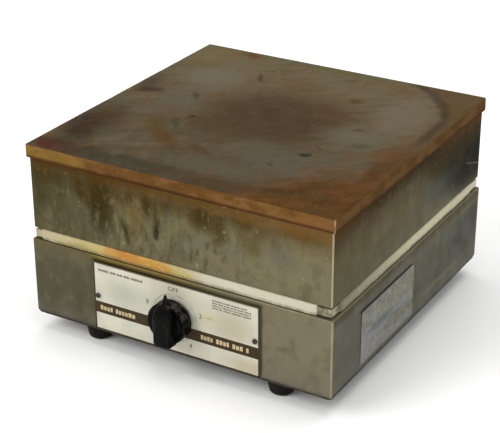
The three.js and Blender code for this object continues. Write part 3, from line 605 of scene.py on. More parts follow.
def fibre():
    """Cream ceramic fibre strip, scorched orange left of the middle of the front."""
    p = Paint("fibre", specular_ior_level=0.15, sheen_weight=0.2)
    cloud = p.noise(0.020, 5.0)
    height = (BOX_HIGH.z + HEAD_LOW.z) / 2
    front = p.band(p.y, MIDDLE.y - 0.1440, MIDDLE.y - 0.1465)
    ragged = p.wander(0.014, 0.006, 4.0)
    along_right = p.band(p.y, MIDDLE.y - 0.14, MIDDLE.y + 0.03)
    side = p.mix(along_right, (114, 109, 88), (184, 178, 147))
    white = p.mix(p.band(p.x, -0.01, 0.05), (172, 160, 128), (191, 185, 164))
    p.colour = p.mix(front, side, white)
    yellow = p.band(p.plus(p.x, p.times(p.band(cloud, 0.3, 0.7), 0.02)), 0.030, -0.005)
    tint = p.mix(p.band(p.x, -0.08, -0.15), (178, 164, 104), (172, 160, 132))
    p.lay(tint, yellow, front, 0.85)
    stains = [
        (-42, 99.5, 46, 22, (188, 146, 74), 1.6),
        (-52, 97.5, 30, 9, (172, 116, 40), 1.7),
        (-18, 96.5, 28, 7, (176, 128, 46), 1.6),
        (-68, 98.5, 12, 8, (180, 140, 78), 0.9),
        (8, 96.0, 20, 7, (170, 158, 84), 1.1),
        (-100, 95.5, 34, 6, (150, 136, 82), 1.0),
    ]
    plain = p.colour
    p.stained(stains, ragged, on_front)
    p.colour = p.mix(front, plain, p.colour)
    # The lower half of the strip is darkened olive, broken up by noise: painted shade under its
    # rounded crown.
    low = p.band(p.z, height - 0.0005, BOX_HIGH.z + 0.0012)
    dirt_and_shade = p.band(p.noise(0.008, 4.0), 0.32, 0.6, 0.45, 1.0)
    shade = p.band(front, 0.0, 1.0, 0.85, 0.7)
    p.lay((92, 82, 50), low, dirt_and_shade, shade)
    hairs = p.noise(0.0009, 3.0, stretch=(6, 6, 0.6))
    p.lay((126, 112, 78), p.band(hairs, 0.5, 0.75, 0.0, 0.25))
    tufts = p.patches(0.0045, 4.0, 0.56, 0.72, 0.14)
    p.lay((214, 210, 190), tufts)
    p.bump(p.plus(hairs, p.noise(0.0022, 3.0)), 0.0003, 0.7)
    return p.done(p.band(cloud, 0.3, 0.7, 0.85, 0.97))


def blanket():
    """Mineral wool: pale grey yellow, felted, with darker tufts."""
    p = Paint("blanket", specular_ior_level=0.15, sheen_weight=0.3)
    cloud = p.noise(0.02, 5.0)
    p.colour = p.mix(p.band(cloud, 0.35, 0.65), (170, 160, 122), (206, 198, 164))
    tufts = p.patches(0.004, 4.0, 0.5, 0.7, 0.5)
    p.lay((128, 116, 84), tufts)
    strands = p.noise(0.0014, 3.0, stretch=(5, 1.4, 0.6))
    p.bump(p.plus(strands, p.noise(0.005, 4.0)), 0.0008, 0.8)
    return p.done(p.band(cloud, 0.3, 0.7, 0.9, 0.99))


def panel_paint():
    """Off-white enamel, yellowed in patches, with a stain by the dial and grimy edges."""
    p = Paint("panel_paint", specular_ior_level=0.3, coat_weight=0.1, coat_roughness=0.3)
    cloud = p.noise(0.030, 4.0)
    p.colour = p.mix(p.band(cloud, 0.36, 0.64), (186, 184, 166), (200, 196, 178))
    ragged = p.wander(0.007, 0.003)
    mid = KNOB_AXIS.z / MM
    stains = [
        (-52, mid + 8, 42, 24, (166, 167, 150), 1.0),
        (56, mid + 5, 36, 26, (170, 162, 138), 1.2),
        (74, 26, 36, 14, (176, 164, 140), 1.2),
        (-8, 82, 60, 8, (188, 180, 158), 0.9),
        (34, mid + 8, 16, 8, (188, 180, 140), 0.9, -12),
        (36, mid + 8.5, 7, 2.2, (160, 148, 104), 1.0, -12),
        (60, mid - 8, 10, 6, (196, 184, 152), 1.0),
    ]
    p.stained(stains, ragged, on_front)
    middle, half = (PANEL_LOW + PANEL_HIGH) / 2, (PANEL_HIGH - PANEL_LOW) / 2
    off_x, off_z = p.off(p.x, middle.x), p.off(p.z, middle.z)
    edge_x = p.band(off_x, half.x - 0.0026, half.x - 0.0004)
    edge_z = p.band(off_z, half.z - 0.0022, half.z - 0.0003)
    grime_and_shade = p.times(p.most(edge_x, edge_z), p.band(p.noise(0.006), 0.3, 0.6, 0.2, 0.9))
    p.lay((132, 122, 94), grime_and_shade, 0.6)
    # A thin brown line is printed round the edge.
    line_x = p.band(off_x, half.x - 0.0011, half.x - 0.0008)
    line_z = p.band(off_z, half.z - 0.0009, half.z - 0.0006)
    p.lay((66, 53, 32), p.most(line_x, line_z), 0.9)
    # A faint grey ring of painted shade lies round the knob, just outside its skirt.
    far = p.apart(p.place, tuple(KNOB_AXIS), (1, 0, 1))
    ring = p.band(p.off(far, 0.0222), 0.0002, 0.0010, 1, 0)
    ring = p.times(ring, p.band(p.noise(0.006, 3.0), 0.4, 0.6, 0.1, 0.6))
    p.lay((138, 130, 112), ring)
    marks = p.patches(0.0030, 4.0, 0.62, 0.72, 0.35)
    p.lay((158, 148, 122), marks)
    p.bump(p.noise(0.0018, 2.0), 0.00004, 0.4)
    return p.done(p.varied(0.01, 3.0, 0.38, 0.52))


def ink(name, shade, wear_and_highlight):
    """Screen print: flat colour that has rubbed thin in small patches."""
    darker = tuple(c * 0.8 for c in shade)
    return mottled(
        name, (shade, wear_and_highlight, darker), cloud=(0.0026, 4.0, 0.56, 0.70, 0.4),
        spots=(0.018, 2.0, 0.35, 0.65, 0.35), grain=(0.001, 2.0, 0.00002, 0.4),
        rough=(0.006, 3.0, 0.45, 0.62), specular_ior_level=0.2,
    )


def foil():
    """Thin aluminium label with faint grey rows of print, dulled and handled."""
    p = Paint("foil", gain=1.05, haze=0.01, metallic=0.45, specular_ior_level=0.3)
    cloud = p.noise(0.010, 5.0)
    p.colour = p.mix(p.band(cloud, 0.35, 0.65), (114, 115, 106), (134, 134, 127))
    ragged = p.wander(0.010, 0.004)
    stains = [
        (-90, 38, 14, 22, (134, 132, 132), 1.0),
        (-38, 45, 20, 12, (128, 130, 128), 1.0),
        (-10, 62, 22, 14, (122, 118, 98), 1.2),
        (-8, 38, 9, 7, (112, 110, 84), 1.3),
        (-66, 50, 14, 5, (92, 96, 94), 1.3, -15),
        (-36, 44, 12, 3, (92, 102, 102), 1.3, -25),
    ]
    p.stained(stains, ragged, on_right)
    # Rows of short dashes stand for the print, and say nothing.
    row = p.math("FRACT", p.math("DIVIDE", p.z, 0.0031))
    line = p.times(p.band(row, 0.25, 0.4), p.band(row, 0.75, 0.6))
    words = p.patches(0.0022, 1.0, 0.46, 0.56, stretch=(1, 1, 0.9))
    upper = p.band(p.z, LABEL_HIGH.z - 0.0100, LABEL_HIGH.z - 0.0085)
    lower = p.times(p.band(p.z, LABEL_LOW.z + 0.020, LABEL_LOW.z + 0.016), 0.6)
    middle_y, reach = (LABEL_LOW.y + LABEL_HIGH.y) / 2, (LABEL_HIGH.y - LABEL_LOW.y) / 2
    inside = p.band(p.off(p.y, middle_y), reach - 0.005, reach - 0.007)
    dashes = p.times(line, words, p.most(upper, lower), inside)
    p.lay((84, 62, 54), dashes, 0.6)
    smudge = p.patches(0.0040, 5.0, 0.56, 0.68, 0.55)
    p.lay((88, 88, 78), smudge)
    glint = p.patches(0.0032, 5.0, 0.62, 0.72, 0.6, stretch=(1, 2, 1))
    p.lay((166, 166, 154), glint)
    p.bump(p.noise(0.004, 3.0), 0.00025, 0.6)
    return p.done(p.varied(0.006, 3.0, 0.36, 0.54))


def phenolic():
    """Black moulded phenolic, slightly scuffed and dusty in patches."""
    p = Paint("phenolic", specular_ior_level=0.06)
    dust = p.patches(0.006, 5.0, 0.52, 0.76, 0.30)
    p.colour = p.mix(dust, rgb(5, 5, 4), (28, 23, 16))
    scuffs = p.patches(0.0014, 4.0, 0.68, 0.76, 0.5, stretch=(3, 3, 0.9))
    p.lay((92, 90, 84), scuffs)
    # Faint vertical streaks of painted highlight.
    sheen = p.patches(0.0035, 2.0, 0.5, 0.7, 0.7, stretch=(1, 1, 6))
    p.lay((22, 22, 25), sheen)
    # The skirt's rim is worn grey at one place.
    far = p.apart(p.place, tuple(KNOB_AXIS), (1, 0, 1))
    rim = p.times(p.band(far, 0.0172, 0.0195), p.band(p.x, KNOB_AXIS.x, KNOB_AXIS.x + 0.006))
    rim = p.times(rim, p.band(p.z, KNOB_AXIS.z + 0.003, KNOB_AXIS.z + 0.010))
    chipped = p.patches(0.0050, 1.0, 0.40, 0.62, 0.5)
    p.lay((92, 88, 82), rim, chipped)
    p.bump(p.noise(0.0009, 3.0), 0.00003, 0.4)
    return p.done(p.varied(0.005, 4.0, 0.24, 0.40))


def rubber_black():
    """Black rubber with a grey bloom and dust."""
    p = Paint("rubber_black", specular_ior_level=0.15)
    bloom = p.patches(0.005, 5.0, 0.45, 0.7, 0.5)
    p.colour = p.mix(bloom, (14, 13, 11), (36, 33, 28))
    low = p.band(p.z, 0.004, 0.0005, 0.0, 0.5)
    p.lay((60, 56, 48), low)
    p.bump(p.noise(0.0011, 4.0), 0.00008, 0.5)
    return p.done(p.varied(0.004, 3.0, 0.6, 0.8))


def ceramic():
    """Glazed steatite, off-white with small brown stains."""
    return mottled(
        "ceramic", ((206, 198, 182), (224, 220, 208), (156, 136, 108)),
        cloud=(0.012, 4.0, 0.35, 0.65), spots=(0.0035, 5.0, 0.6, 0.72, 0.5),
        grain=(0.0015, 3.0, 0.00004, 0.4), rough=(0.012, 4.0, 0.28, 0.45),
        coat_weight=0.3, coat_roughness=0.15,
    )


def brass():
    """Brass, tarnished brown in patches."""
    return mottled(
        "brass", ((146, 108, 52), (196, 158, 88), (92, 64, 34)),
        cloud=(0.006, 4.0, 0.35, 0.68), spots=(0.0025, 5.0, 0.55, 0.7, 0.5),
        grain=(0.0009, 3.0, 0.00003, 0.4), rough=(0.006, 4.0, 0.28, 0.46), metallic=0.95,
    )


def sleeving():
    """Braided glass sleeving: cream and fine grained, dirtied in patches."""
    p = Paint("sleeving", specular_ior_level=0.3, sheen_weight=0.2)
    weave = p.noise(0.0007, 1.0, stretch=(1, 3, 1))
    p.colour = p.mix(p.band(weave, 0.4, 0.6), (164, 150, 118), (216, 206, 178))
    dirt_and_shade = p.patches(0.015, 4.0, 0.5, 0.7, 0.4)
    p.lay((126, 106, 76), dirt_and_shade)
    p.bump(weave, 0.0002, 0.6)
    return p.done(p.band(dirt_and_shade, 0.0, 0.4, 0.75, 0.9))


def gap_steel():
    """The spacer in the gap: mottled grey steel, with fibre dust on two of its corners."""
    p = Paint("gap_steel", metallic=0.1, specular_ior_level=0.1)
    mottle = p.patches(0.0060, 2.0, 0.36, 0.62)
    p.colour = p.mix(mottle, (104, 99, 80), (158, 152, 128))
    dusty = p.times(p.band(p.x, -0.120, -0.142), p.band(p.y, MIDDLE.y - 0.130, MIDDLE.y - 0.142))
    p.lay((170, 160, 130), dusty, 0.85)
    pale = p.times(p.band(p.x, 0.110, 0.125), p.band(p.y, MIDDLE.y + 0.118, MIDDLE.y + 0.130))
    p.lay((204, 197, 176), pale, 0.85)
    p.bump(p.noise(0.0016, 3.0), 0.00008, 0.4)
    return p.done(p.varied(0.01, 4.0, 0.55, 0.75))


PAINTS = {
    "plate_steel": plate_steel(),
    "shell_steel": shell_steel(),
    "bright_steel": sheet_steel("bright_steel", (112, 108, 98), (158, 155, 146), 0.34, 0.50, 0.9, 0.3),
    "dark_steel": sheet_steel("dark_steel", (50, 47, 41), (84, 80, 70), 0.5, 0.66, 0.7, 0.6),
    "element_tube": element_tube(),
    "fibre": fibre(),
    "blanket": blanket(),
    "panel_paint": panel_paint(),
    "foil": foil(),
    "phenolic": phenolic(),
    "rubber_black": rubber_black(),
    "ceramic": ceramic(),
    "brass": brass(),
    "sleeving": sleeving(),
}
GAP_STEEL = gap_steel()
STRIPE_INK = ink("stripe_ink", (52, 38, 14), (92, 74, 40))
CREAM_INK = ink("cream_ink", (190, 172, 132), (112, 88, 48))
GREY_INK = ink("grey_ink", (80, 76, 62), (122, 116, 98))


# ---------------------------------------------------------------- mesh tools


def welded(node):
    """A copy of a CAD node's mesh with shared corners and whole flat faces."""
    mesh = bmesh.new()
    mesh.from_mesh(frame["nodes"][node].data)
    bmesh.ops.remove_doubles(mesh, verts=mesh.verts, dist=2e-6)
    flat = math.radians(0.4)
    bmesh.ops.dissolve_limit(mesh, angle_limit=flat, verts=mesh.verts, edges=mesh.edges)
    return mesh


def sliced(mesh, *pitches):
    """Cuts the mesh across each axis every pitch, so that it can be bent."""
    for axis, pitch in enumerate(pitches):
        places = [v.co[axis] for v in mesh.verts]
        low, high = min(places), max(places)
        normal = Vector((0, 0, 0))
        normal[axis] = 1
        count = math.ceil((high - low) / pitch)
        for step in range(1, count):
            everything = mesh.verts[:] + mesh.edges[:] + mesh.faces[:]
            at = normal * (low + step * (high - low) / count)
            bmesh.ops.bisect_plane(mesh, geom=everything, plane_co=at, plane_no=normal, dist=1e-7)
    return mesh


def bent(mesh, shift):
    """Moves every corner of the mesh by shift(corner)."""
    moves = [shift(v.co) for v in mesh.verts]
    for vertex, move in zip(mesh.verts, moves):
        vertex.co += move
    return mesh


def placed(name, data):
    """A new object with this data, in the scene."""
    thing = bpy.data.objects.new(name, data)
    scene.collection.objects.link(thing)
    return thing


def as_data(name, mesh):
    """Turns a bmesh into mesh data, and frees it."""
    data = bpy.data.meshes.new(name)
    mesh.to_mesh(data)
    mesh.free()
    return data


def as_piece(name, mesh, slot, nodes=(), body="base", material=None, smooth=38):
    """Turns a bmesh into a piece of the object, which rides on a body and stands for nodes."""
    bmesh.ops.recalc_face_normals(mesh, faces=mesh.faces)
    data = as_data(name, mesh)
    data.materials.append(material or PAINTS[slot])
    data.shade_smooth()
    data.set_sharp_from_angle(angle=math.radians(smooth))
    piece = placed(name, data)
    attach(piece, body)
    if nodes:
        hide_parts(*nodes)
    return piece


def turned(outline, axis_at, axis=(0, 0, 1), steps=72):
    """A closed solid turned about an axis. The outline is (radius, height) from bottom to top."""
    mesh = bmesh.new()
    tilt = Vector((0, 0, 1)).rotation_difference(Vector(axis)).to_matrix()
    rings = []
    for radius, height in outline:
        if radius < 1e-7:
            rings.append([mesh.verts.new(axis_at + tilt @ Vector((0, 0, height)))])
            continue
        ring = []
        for step in range(steps):
            angle = 2 * math.pi * step / steps
            spot = Vector((radius * math.cos(angle), radius * math.sin(angle), height))
            ring.append(mesh.verts.new(axis_at + tilt @ spot))
        rings.append(ring)
    pairs = list(zip(rings, rings[1:]))
    if len(rings[0]) > 1:
        pairs.append((rings[-1], rings[0]))
    for one, two in pairs:
        for step in range(steps):
            after = (step + 1) % steps
            corners = [one[step % len(one)], one[after % len(one)]]
            corners += [two[after % len(two)], two[step % len(two)]]
            corners = list(dict.fromkeys(corners))
            if len(corners) > 2:
                mesh.faces.new(corners)
    return mesh


def arc(middle, radius, start, end, steps):
    """Points of an arc in the (radius, height) plane, angles in degrees."""
    points = []
    for step in range(steps + 1):
        angle = math.radians(start + (end - start) * step / steps)
        points.append((middle[0] + radius * math.cos(angle), middle[1] + radius * math.sin(angle)))
    return points


def lofted(mesh, rings):
    """Closes a mesh over rings of corners: a wall from each to the next, and both ends."""
    count = len(rings[0])
    for one, two in zip(rings, rings[1:]):
        for step in range(count):
            after = (step + 1) % count
            mesh.faces.new((one[step], one[after], two[after], two[step]))
    mesh.faces.new(rings[0])
    mesh.faces.new(rings[-1][::-1])
    return mesh


def soft_noise(place, size):
    return noise.noise(place / size)


# ---------------------------------------------------------------- pieces


def cooking_plate():
    """The plate, a little uneven on top and nicked along its edges."""
    mesh = sliced(welded("heating_plate"), 0.0045, 0.0045, 0.0035)
    edge_from, nick_depth, sag = 0.985 * PLATE_HIGH.x, 0.00035, 0.00012

    def shift(spot):
        off = spot - MIDDLE
        move = Vector((0, 0, 0))
        if max(abs(off.x), abs(off.y)) > edge_from:
            nick = max(0.0, soft_noise(spot, 0.011) - 0.15) + max(0.0, soft_noise(spot, 0.03))
            inward = Vector((-off.x, -off.y, 0)).normalized()
            move += inward * nick_depth * nick
        if off.z > 0:
            move.z -= sag * (1 + soft_noise(spot, 0.07))
        return move

    return as_piece("cooking_plate", bent(mesh, shift), "plate_steel", ["heating_plate"], smooth=30)


def casing(name, node, depth):
    """A bent sheet casing whose walls are very slightly dished and wavy."""
    mesh = sliced(welded(node), 0.0075, 0.0075, 0.0075)
    low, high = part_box(node)
    centre, half = (low + high) / 2, (high - low) / 2
    wall, near_fold, near_rim, wave_size = 0.0016, 0.02, 0.015, 0.055

    def shift(spot):
        off = spot - centre
        move = Vector((0, 0, 0))
        for axis, other in ((0, 1), (1, 0)):
            if half[axis] - abs(off[axis]) > wall:
                continue
            inner = min(1.0, (half[other] - abs(off[other])) / near_fold)
            inner *= min(1.0, (half.z - abs(off.z)) / near_rim)
            wave = 0.5 + 0.5 * soft_noise(spot + Vector((3, 0, 0)), wave_size)
            move[axis] = -math.copysign(depth * wave * max(0.0, inner), off[axis])
        return move

    return as_piece(name, bent(mesh, shift), "shell_steel", [node], smooth=32)


def fibre_strip(side):
    """One packed fibre strip: crowned, lumpy, and pressed a little unevenly."""
    node = f"gasket_{side}"
    low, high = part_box(node)
    along = 0 if side in ("front", "back") else 1
    across = 1 - along
    outward = -1 if side in ("front", "left") else 1
    outer, inner = low[across], high[across]
    if outward > 0:
        outer, inner = inner, outer
    tall, middle = (high.z - low.z) / 2, (high.z + low.z) / 2
    length = high[along] - low[along]
    steps = round(length / 0.0016)
    section = []
    for step in range(19):
        angle = math.pi * (step / 18 - 0.5)
        bulge = abs(math.cos(angle)) ** (0.28 if step < 9 else 0.6)
        section.append((bulge, math.copysign(abs(math.sin(angle)) ** 0.8, math.sin(angle))))
    mesh = bmesh.new()
    rings = []
    for step in range(steps + 1):
        share = step / steps
        end = min(share, 1 - share) * length
        fade = min(1.0, 0.55 + 0.45 * math.sqrt(min(1.0, end / 0.003)))
        place = low[along] + share * length
        wave = 0.00035 * soft_noise(Vector((place, outward, along)), 0.018)
        ring = []
        for bulge, rise in section:
            spot = Vector((0, 0, 0))
            spot[along] = place
            front = inner + (outer - inner) * (0.42 + 0.58 * bulge * fade)
            spot[across] = front + outward * wave * bulge
            spot.z = middle + rise * tall * (0.96 + 0.04 * fade)
            lump = soft_noise(spot, 0.0032) + 0.6 * soft_noise(spot, 0.0014)
            spot[across] += outward * 0.00022 * lump * bulge
            ring.append(mesh.verts.new(spot))
        for rise in (1, -1):
            spot = Vector((0, 0, 0))
            spot[along], spot[across] = place, inner
            spot.z = middle + rise * tall * 0.94
            ring.append(mesh.verts.new(spot))
        rings.append(ring)
    return as_piece(f"fibre_strip_{side}", lofted(mesh, rings), "fibre", [node], smooth=60)


def wool_blanket():
    """The mineral wool blanket: lumpy, with soft edges pressed in all round."""
    mesh = sliced(welded("insulation_blanket"), 0.0065, 0.0065, 0.0080)
    mesh.normal_update()
    low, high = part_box("insulation_blanket")
    clear, lump_height, edge_reach, edge_depth = 0.0001, 0.0011, 0.009, 0.0022
    moves = []
    for vertex in mesh.verts:
        spot = vertex.co
        lump = 0.5 + 0.5 * soft_noise(spot, 0.016) + 0.25 * soft_noise(spot, 0.006)
        gaps = sorted(min(spot[axis] - low[axis], high[axis] - spot[axis]) for axis in range(3))
        edge = max(0.0, 1 - gaps[1] / edge_reach) ** 2 if gaps[0] < 0.0001 else 0.0
        moves.append(-vertex.normal * (clear + lump_height * lump + edge_depth * edge))
    for vertex, move in zip(mesh.verts, moves):
        vertex.co += move
    piece = as_piece("wool_blanket", mesh, "blanket", ["insulation_blanket"], smooth=75)


def rubber_foot(corner):
    """A moulded rubber foot with a rounded tread and a hole for its screw."""
    node = f"foot_{corner}"
    low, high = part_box(node)
    axis_at = Vector(((low.x + high.x) / 2, (low.y + high.y) / 2, 0))
    top, radius = high.z, (high.x - low.x) / 2
    outline = [(0.0047, 0.0003), (0.0050, 0), (0.0076, 0)]
    outline += arc((0.0079, 0.0032), 0.0032, -90, -28, 6)
    outline += [(0.0112, 0.0032), (radius - 0.0008, 0.0082), (radius - 0.0001, 0.0115)]
    outline += arc((radius - 0.0009, top - 0.0009), 0.0009, 0, 90, 4)
    outline += [(0.0028, top), (0.0026, top - 0.0002), (0.0026, 0.0075), (0.0047, 0.0075)]
    mesh = turned(outline, axis_at, steps=64)
    return as_piece(f"rubber_foot_{corner}", mesh, "rubber_black", [node], smooth=50)


def bar_section(share):
    """Height, half width and reach of the knob's bar at a share of its length from the foot."""
    foot, rounded, shoulder, neck, nose = -0.0214, -0.0154, 0.006, 0.0195, 0.0280
    widest, deepest, slope = 0.0097, 0.0220, 0.004
    z = foot + (nose - foot) * share
    if z < rounded:
        half = widest * math.sqrt(max(0.0, 1 - ((rounded - z) / 0.0060) ** 2.4)) + 0.00005
    elif z < shoulder:
        half = widest
    elif z < neck:
        half = 0.0022 + 0.0075 * math.sqrt(max(0.0, 1 - ((z - shoulder) / 0.0135) ** 2.2))
    else:
        half = 0.0026 - 0.0020 * ((z - neck) / 0.0085) ** 1.1
    if z < slope:
        reach = deepest - 0.0022 * max(0.0, (-0.0180 - z) / 0.0034) ** 2
    else:
        reach = deepest - 0.0072 * ((z - slope) / 0.024) ** 1.4
    return z, max(half, 0.0004), reach


def range_knob():
    """The knob: a round skirt with a thin raised rim and a tapered bar that ends in a nose."""
    knob_low, knob_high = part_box("knob")
    radius, skirt = (knob_high.x - knob_low.x) / 2, 0.0142
    outline = [(0.0, -skirt + 0.0005), (0.0150, -skirt + 0.0005)]
    outline += [(0.0166, -skirt + 0.0004), (0.0172, -skirt)]
    outline += arc((radius - 0.0012, -skirt + 0.0012), 0.0012, -90, -5, 5)
    outline += [(radius, -skirt + 0.0016), (radius, -0.0042)]
    outline += arc((radius - 0.0010, -0.0034), 0.0010, 0, 90, 4)
    outline += [(0.0155, -0.0024), (0.0155, -0.0080), (0.0068, -0.0080)]
    outline += [(0.0068, -0.0058), (0.0044, -0.0058), (0.0044, -0.0134), (0.0, -0.0134)]
    body = turned(outline, KNOB_AXIS, axis=(0, 1, 0), steps=96)
    skirt_piece = as_piece("range_knob", body, "phenolic", ["knob"], "knob", smooth=35)

    bar = bmesh.new()
    rings = []
    steps, inside, draft = 64, 0.0125, 0.0009
    for step in range(steps + 1):
        share = 0.5 - 0.5 * math.cos(math.pi * step / steps)
        z, half, reach = bar_section(share)
        fillet = min(0.0022, half * 0.8)
        points = [(-half, -inside), (-half + 0.0002, -skirt)]
        points += arc((-half + fillet, -reach + fillet), fillet, 180, 270, 6)
        points += arc((half - fillet, -reach + fillet), fillet, 270, 360, 6)
        points += [(half - 0.0002, -skirt), (half, -inside)]
        ring = []
        for x, y in points:
            lean = max(0.0, (-y - skirt) / (0.022 - skirt)) * draft
            x -= math.copysign(min(lean, abs(x) * 0.5), x)
            ring.append(bar.verts.new(KNOB_AXIS + Vector((x, y, z))))
        rings.append(ring)
    united(skirt_piece, lofted(bar, rings))
    return skirt_piece


def united(piece, mesh):
    """Adds a second closed bmesh to a piece and keeps only the outside of the two."""
    bmesh.ops.recalc_face_normals(mesh, faces=mesh.faces)
    other = placed("other", as_data("other", mesh))
    join = piece.modifiers.new("join", "BOOLEAN")
    join.operation, join.solver, join.object = "UNION", "EXACT", other
    whole = piece.evaluated_get(bpy.context.evaluated_depsgraph_get())
    result = bpy.data.meshes.new_from_object(whole)
    piece.modifiers.clear()
    material = piece.data.materials[0]
    piece.data = result
    result.materials.clear()
    result.materials.append(material)
    result.shade_smooth()
    result.set_sharp_from_angle(angle=math.radians(35))
    bpy.data.objects.remove(other)


def foil_label():
    """The label: thin wavy foil with rounded corners and a crease along it."""
    mesh = bmesh.new()
    wide, tall = LABEL_HIGH.y - LABEL_LOW.y, LABEL_HIGH.z - LABEL_LOW.z
    steps_y, steps_z = 69, 34
    back, foil_thickness, curl = BOX_HIGH.x + 0.00006, 0.00012, 0.0006
    layers = []
    for lift in (0, 1):
        grid = []
        for j in range(steps_z + 1):
            row = []
            for i in range(steps_y + 1):
                y = LABEL_LOW.y + wide * i / steps_y
                z = LABEL_LOW.z + tall * j / steps_z
                spot = Vector((0, y, z))
                off_crease = z - LABEL_LOW.z - 0.024 - 0.006 * i / steps_y
                crease = math.exp(-((off_crease / 0.0018) ** 2))
                wave = 0.5 + 0.5 * soft_noise(spot, 0.012)
                x = back + 0.0001 + 0.00018 * wave + 0.0002 * crease + lift * foil_thickness
                corner = min(i, steps_y - i) + min(j, steps_z - j)
                if corner < 2:
                    y += (curl if i < 2 else -curl) * (2 - corner) / 2
                    z += (curl if j < 2 else -curl) * (2 - corner) / 2
                row.append(mesh.verts.new((min(x, LABEL_HIGH.x), y, z)))
            grid.append(row)
        layers.append(grid)
    for lift, grid in enumerate(layers):
        for j in range(steps_z):
            for i in range(steps_y):
                corners = [grid[j][i], grid[j][i + 1], grid[j + 1][i + 1], grid[j + 1][i]]
                mesh.faces.new(corners if lift else corners[::-1])
    rim = [(0, i) for i in range(steps_y)] + [(j, steps_y) for j in range(steps_z)]
    rim += [(steps_z, i) for i in range(steps_y, 0, -1)] + [(j, 0) for j in range(steps_z, 0, -1)]
    for (j0, i0), (j1, i1) in zip(rim, rim[1:] + rim[:1]):
        low, high = layers
        mesh.faces.new((low[j0][i0], low[j1][i1], high[j1][i1], high[j0][i0]))
    return as_piece("foil_label", mesh, "foil", ["data_label"], smooth=50)


def printed_blocks(name, blocks, material, depth=0.00006):
    """Thin flat blocks of ink on the front panel, each (left, right, bottom, top)."""
    mesh = bmesh.new()
    front = PANEL_LOW.y
    for left, right, bottom, top in blocks:
        corners = [(left, bottom), (right, bottom), (right, top), (left, top)]
        faces = [[mesh.verts.new((x, front + y, z)) for x, z in corners] for y in (-depth, depth)]
        lofted(mesh, faces)
    return as_piece(name, mesh, "panel_paint", material=material)


def greeked(left, right, bottom, top, letter, gap, seed):
    """Blocks in place of a line of print: no letters, only their rhythm."""
    dice = random.Random(seed)
    blocks, x = [], left
    while x + letter < right:
        for _ in range(dice.randint(3, 8)):
            wide = letter * dice.uniform(0.7, 1.15)
            if x + wide > right:
                break
            notch = (top - bottom) * dice.choice((0.0, 0.0, 0.12))
            blocks.append((x, x + wide, bottom, top - notch))
            x += wide + gap
        x += letter * 0.9
    return blocks


def panel_print():
    """The printed stripe, border, stand-ins for the words, and the marks of the dial."""
    base = COVER_LOW.z
    low, high = base + 0.0200, base + 0.0312
    margin, behind_knob, line = 0.0002, 0.0210, 0.0008
    left, right = PANEL_LOW.x + margin, PANEL_HIGH.x - margin
    bottom, top = PANEL_LOW.z + margin, PANEL_HIGH.z - margin
    ends = ((left, -behind_knob), (behind_knob, right), (-behind_knob, behind_knob))
    printed_blocks("stripe_print", [(*end, low, high) for end in ends], STRIPE_INK)
    border = [
        (left, right, bottom, bottom + line * 1.5),
        (left, left + line * 1.9, bottom, top),
        (right - line * 2, right, bottom, top),
    ]
    printed_blocks("border_print", border, STRIPE_INK, 0.00007)
    middle, tall = (low + high) / 2, 0.0022
    words = greeked(-0.0785, -0.0365, middle - tall, middle + tall, 0.0030, 0.0008, 3)
    words += greeked(0.0265, 0.0755, middle - tall, middle + tall, 0.0030, 0.0008, 8)
    printed_blocks("stripe_words", words, CREAM_INK, 0.0001)
    small = greeked(-0.079, -0.030, base + 0.0618, base + 0.0640, 0.0012, 0.0005, 5)
    for row in range(4):
        foot = base + 0.0638 - 0.0024 * row
        end = 0.0770 if row else 0.0730
        small += greeked(0.0385, end, foot, foot + 0.0013, 0.0009, 0.0004, 20 + row)
    printed_blocks("small_print", small, GREY_INK)
    for number, mark in enumerate(("OFF", "2", "4", "6", "8")):
        angle = math.radians(72 * number)
        ring = 0.0285 if number else 0.0273
        right, up = ring * math.sin(angle) - 0.0008, ring * math.cos(angle) - 0.0006
        dial_mark(f"dial_mark_{number}", mark, right, up)


def dial_mark(name, mark, right, up):
    """One generic dial mark, as thin raised ink."""
    text = bpy.data.curves.new(name, "FONT")
    text.body, text.size = mark, 0.0063
    text.align_x, text.align_y = "CENTER", "CENTER"
    text.extrude, text.resolution_u = 0.00004, 4
    source = placed(name + "_source", text)
    at = Vector((KNOB_AXIS.x + right, PANEL_LOW.y - 0.00003, KNOB_AXIS.z + up))
    source.matrix_world = Matrix.Translation(at) @ Matrix.Rotation(math.pi / 2, 4, "X")
    bpy.context.view_layer.update()
    shaped = source.evaluated_get(bpy.context.evaluated_depsgraph_get())
    data = bpy.data.meshes.new_from_object(shaped)
    data.transform(source.matrix_world)
    bpy.data.objects.remove(source)
    mesh = bmesh.new()
    mesh.from_mesh(data)
    bpy.data.meshes.remove(data)
    as_piece(name, mesh, "panel_paint", material=GREY_INK)


def soft_edges():
    """A node group that welds a CAD mesh and smooths it between its sharp edges."""
    group = bpy.data.node_groups.new("soft_edges", "GeometryNodeTree")
    for way in ("INPUT", "OUTPUT"):
        group.interface.new_socket("Geometry", in_out=way, socket_type="NodeSocketGeometry")
    nodes, links = group.nodes, group.links
    start, end = nodes.new("NodeGroupInput"), nodes.new("NodeGroupOutput")
    weld = nodes.new("GeometryNodeMergeByDistance")
    weld.inputs["Distance"].default_value = 2e-6
    angle = nodes.new("GeometryNodeInputMeshEdgeAngle")
    round_edge = nodes.new("FunctionNodeCompare")
    round_edge.operation = "GREATER_THAN"
    round_edge.inputs[1].default_value = math.radians(35)
    normals = nodes.new("GeometryNodeSetMeshNormal")
    normals.mode = "SHARPNESS"
    links.new(start.outputs[0], weld.inputs["Geometry"])
    links.new(weld.outputs[0], normals.inputs["Mesh"])
    links.new(angle.outputs["Unsigned Angle"], round_edge.inputs[0])
    links.new(round_edge.outputs[0], normals.inputs["Edge Sharpness"])
    links.new(normals.outputs[0], end.inputs[0])
    return group


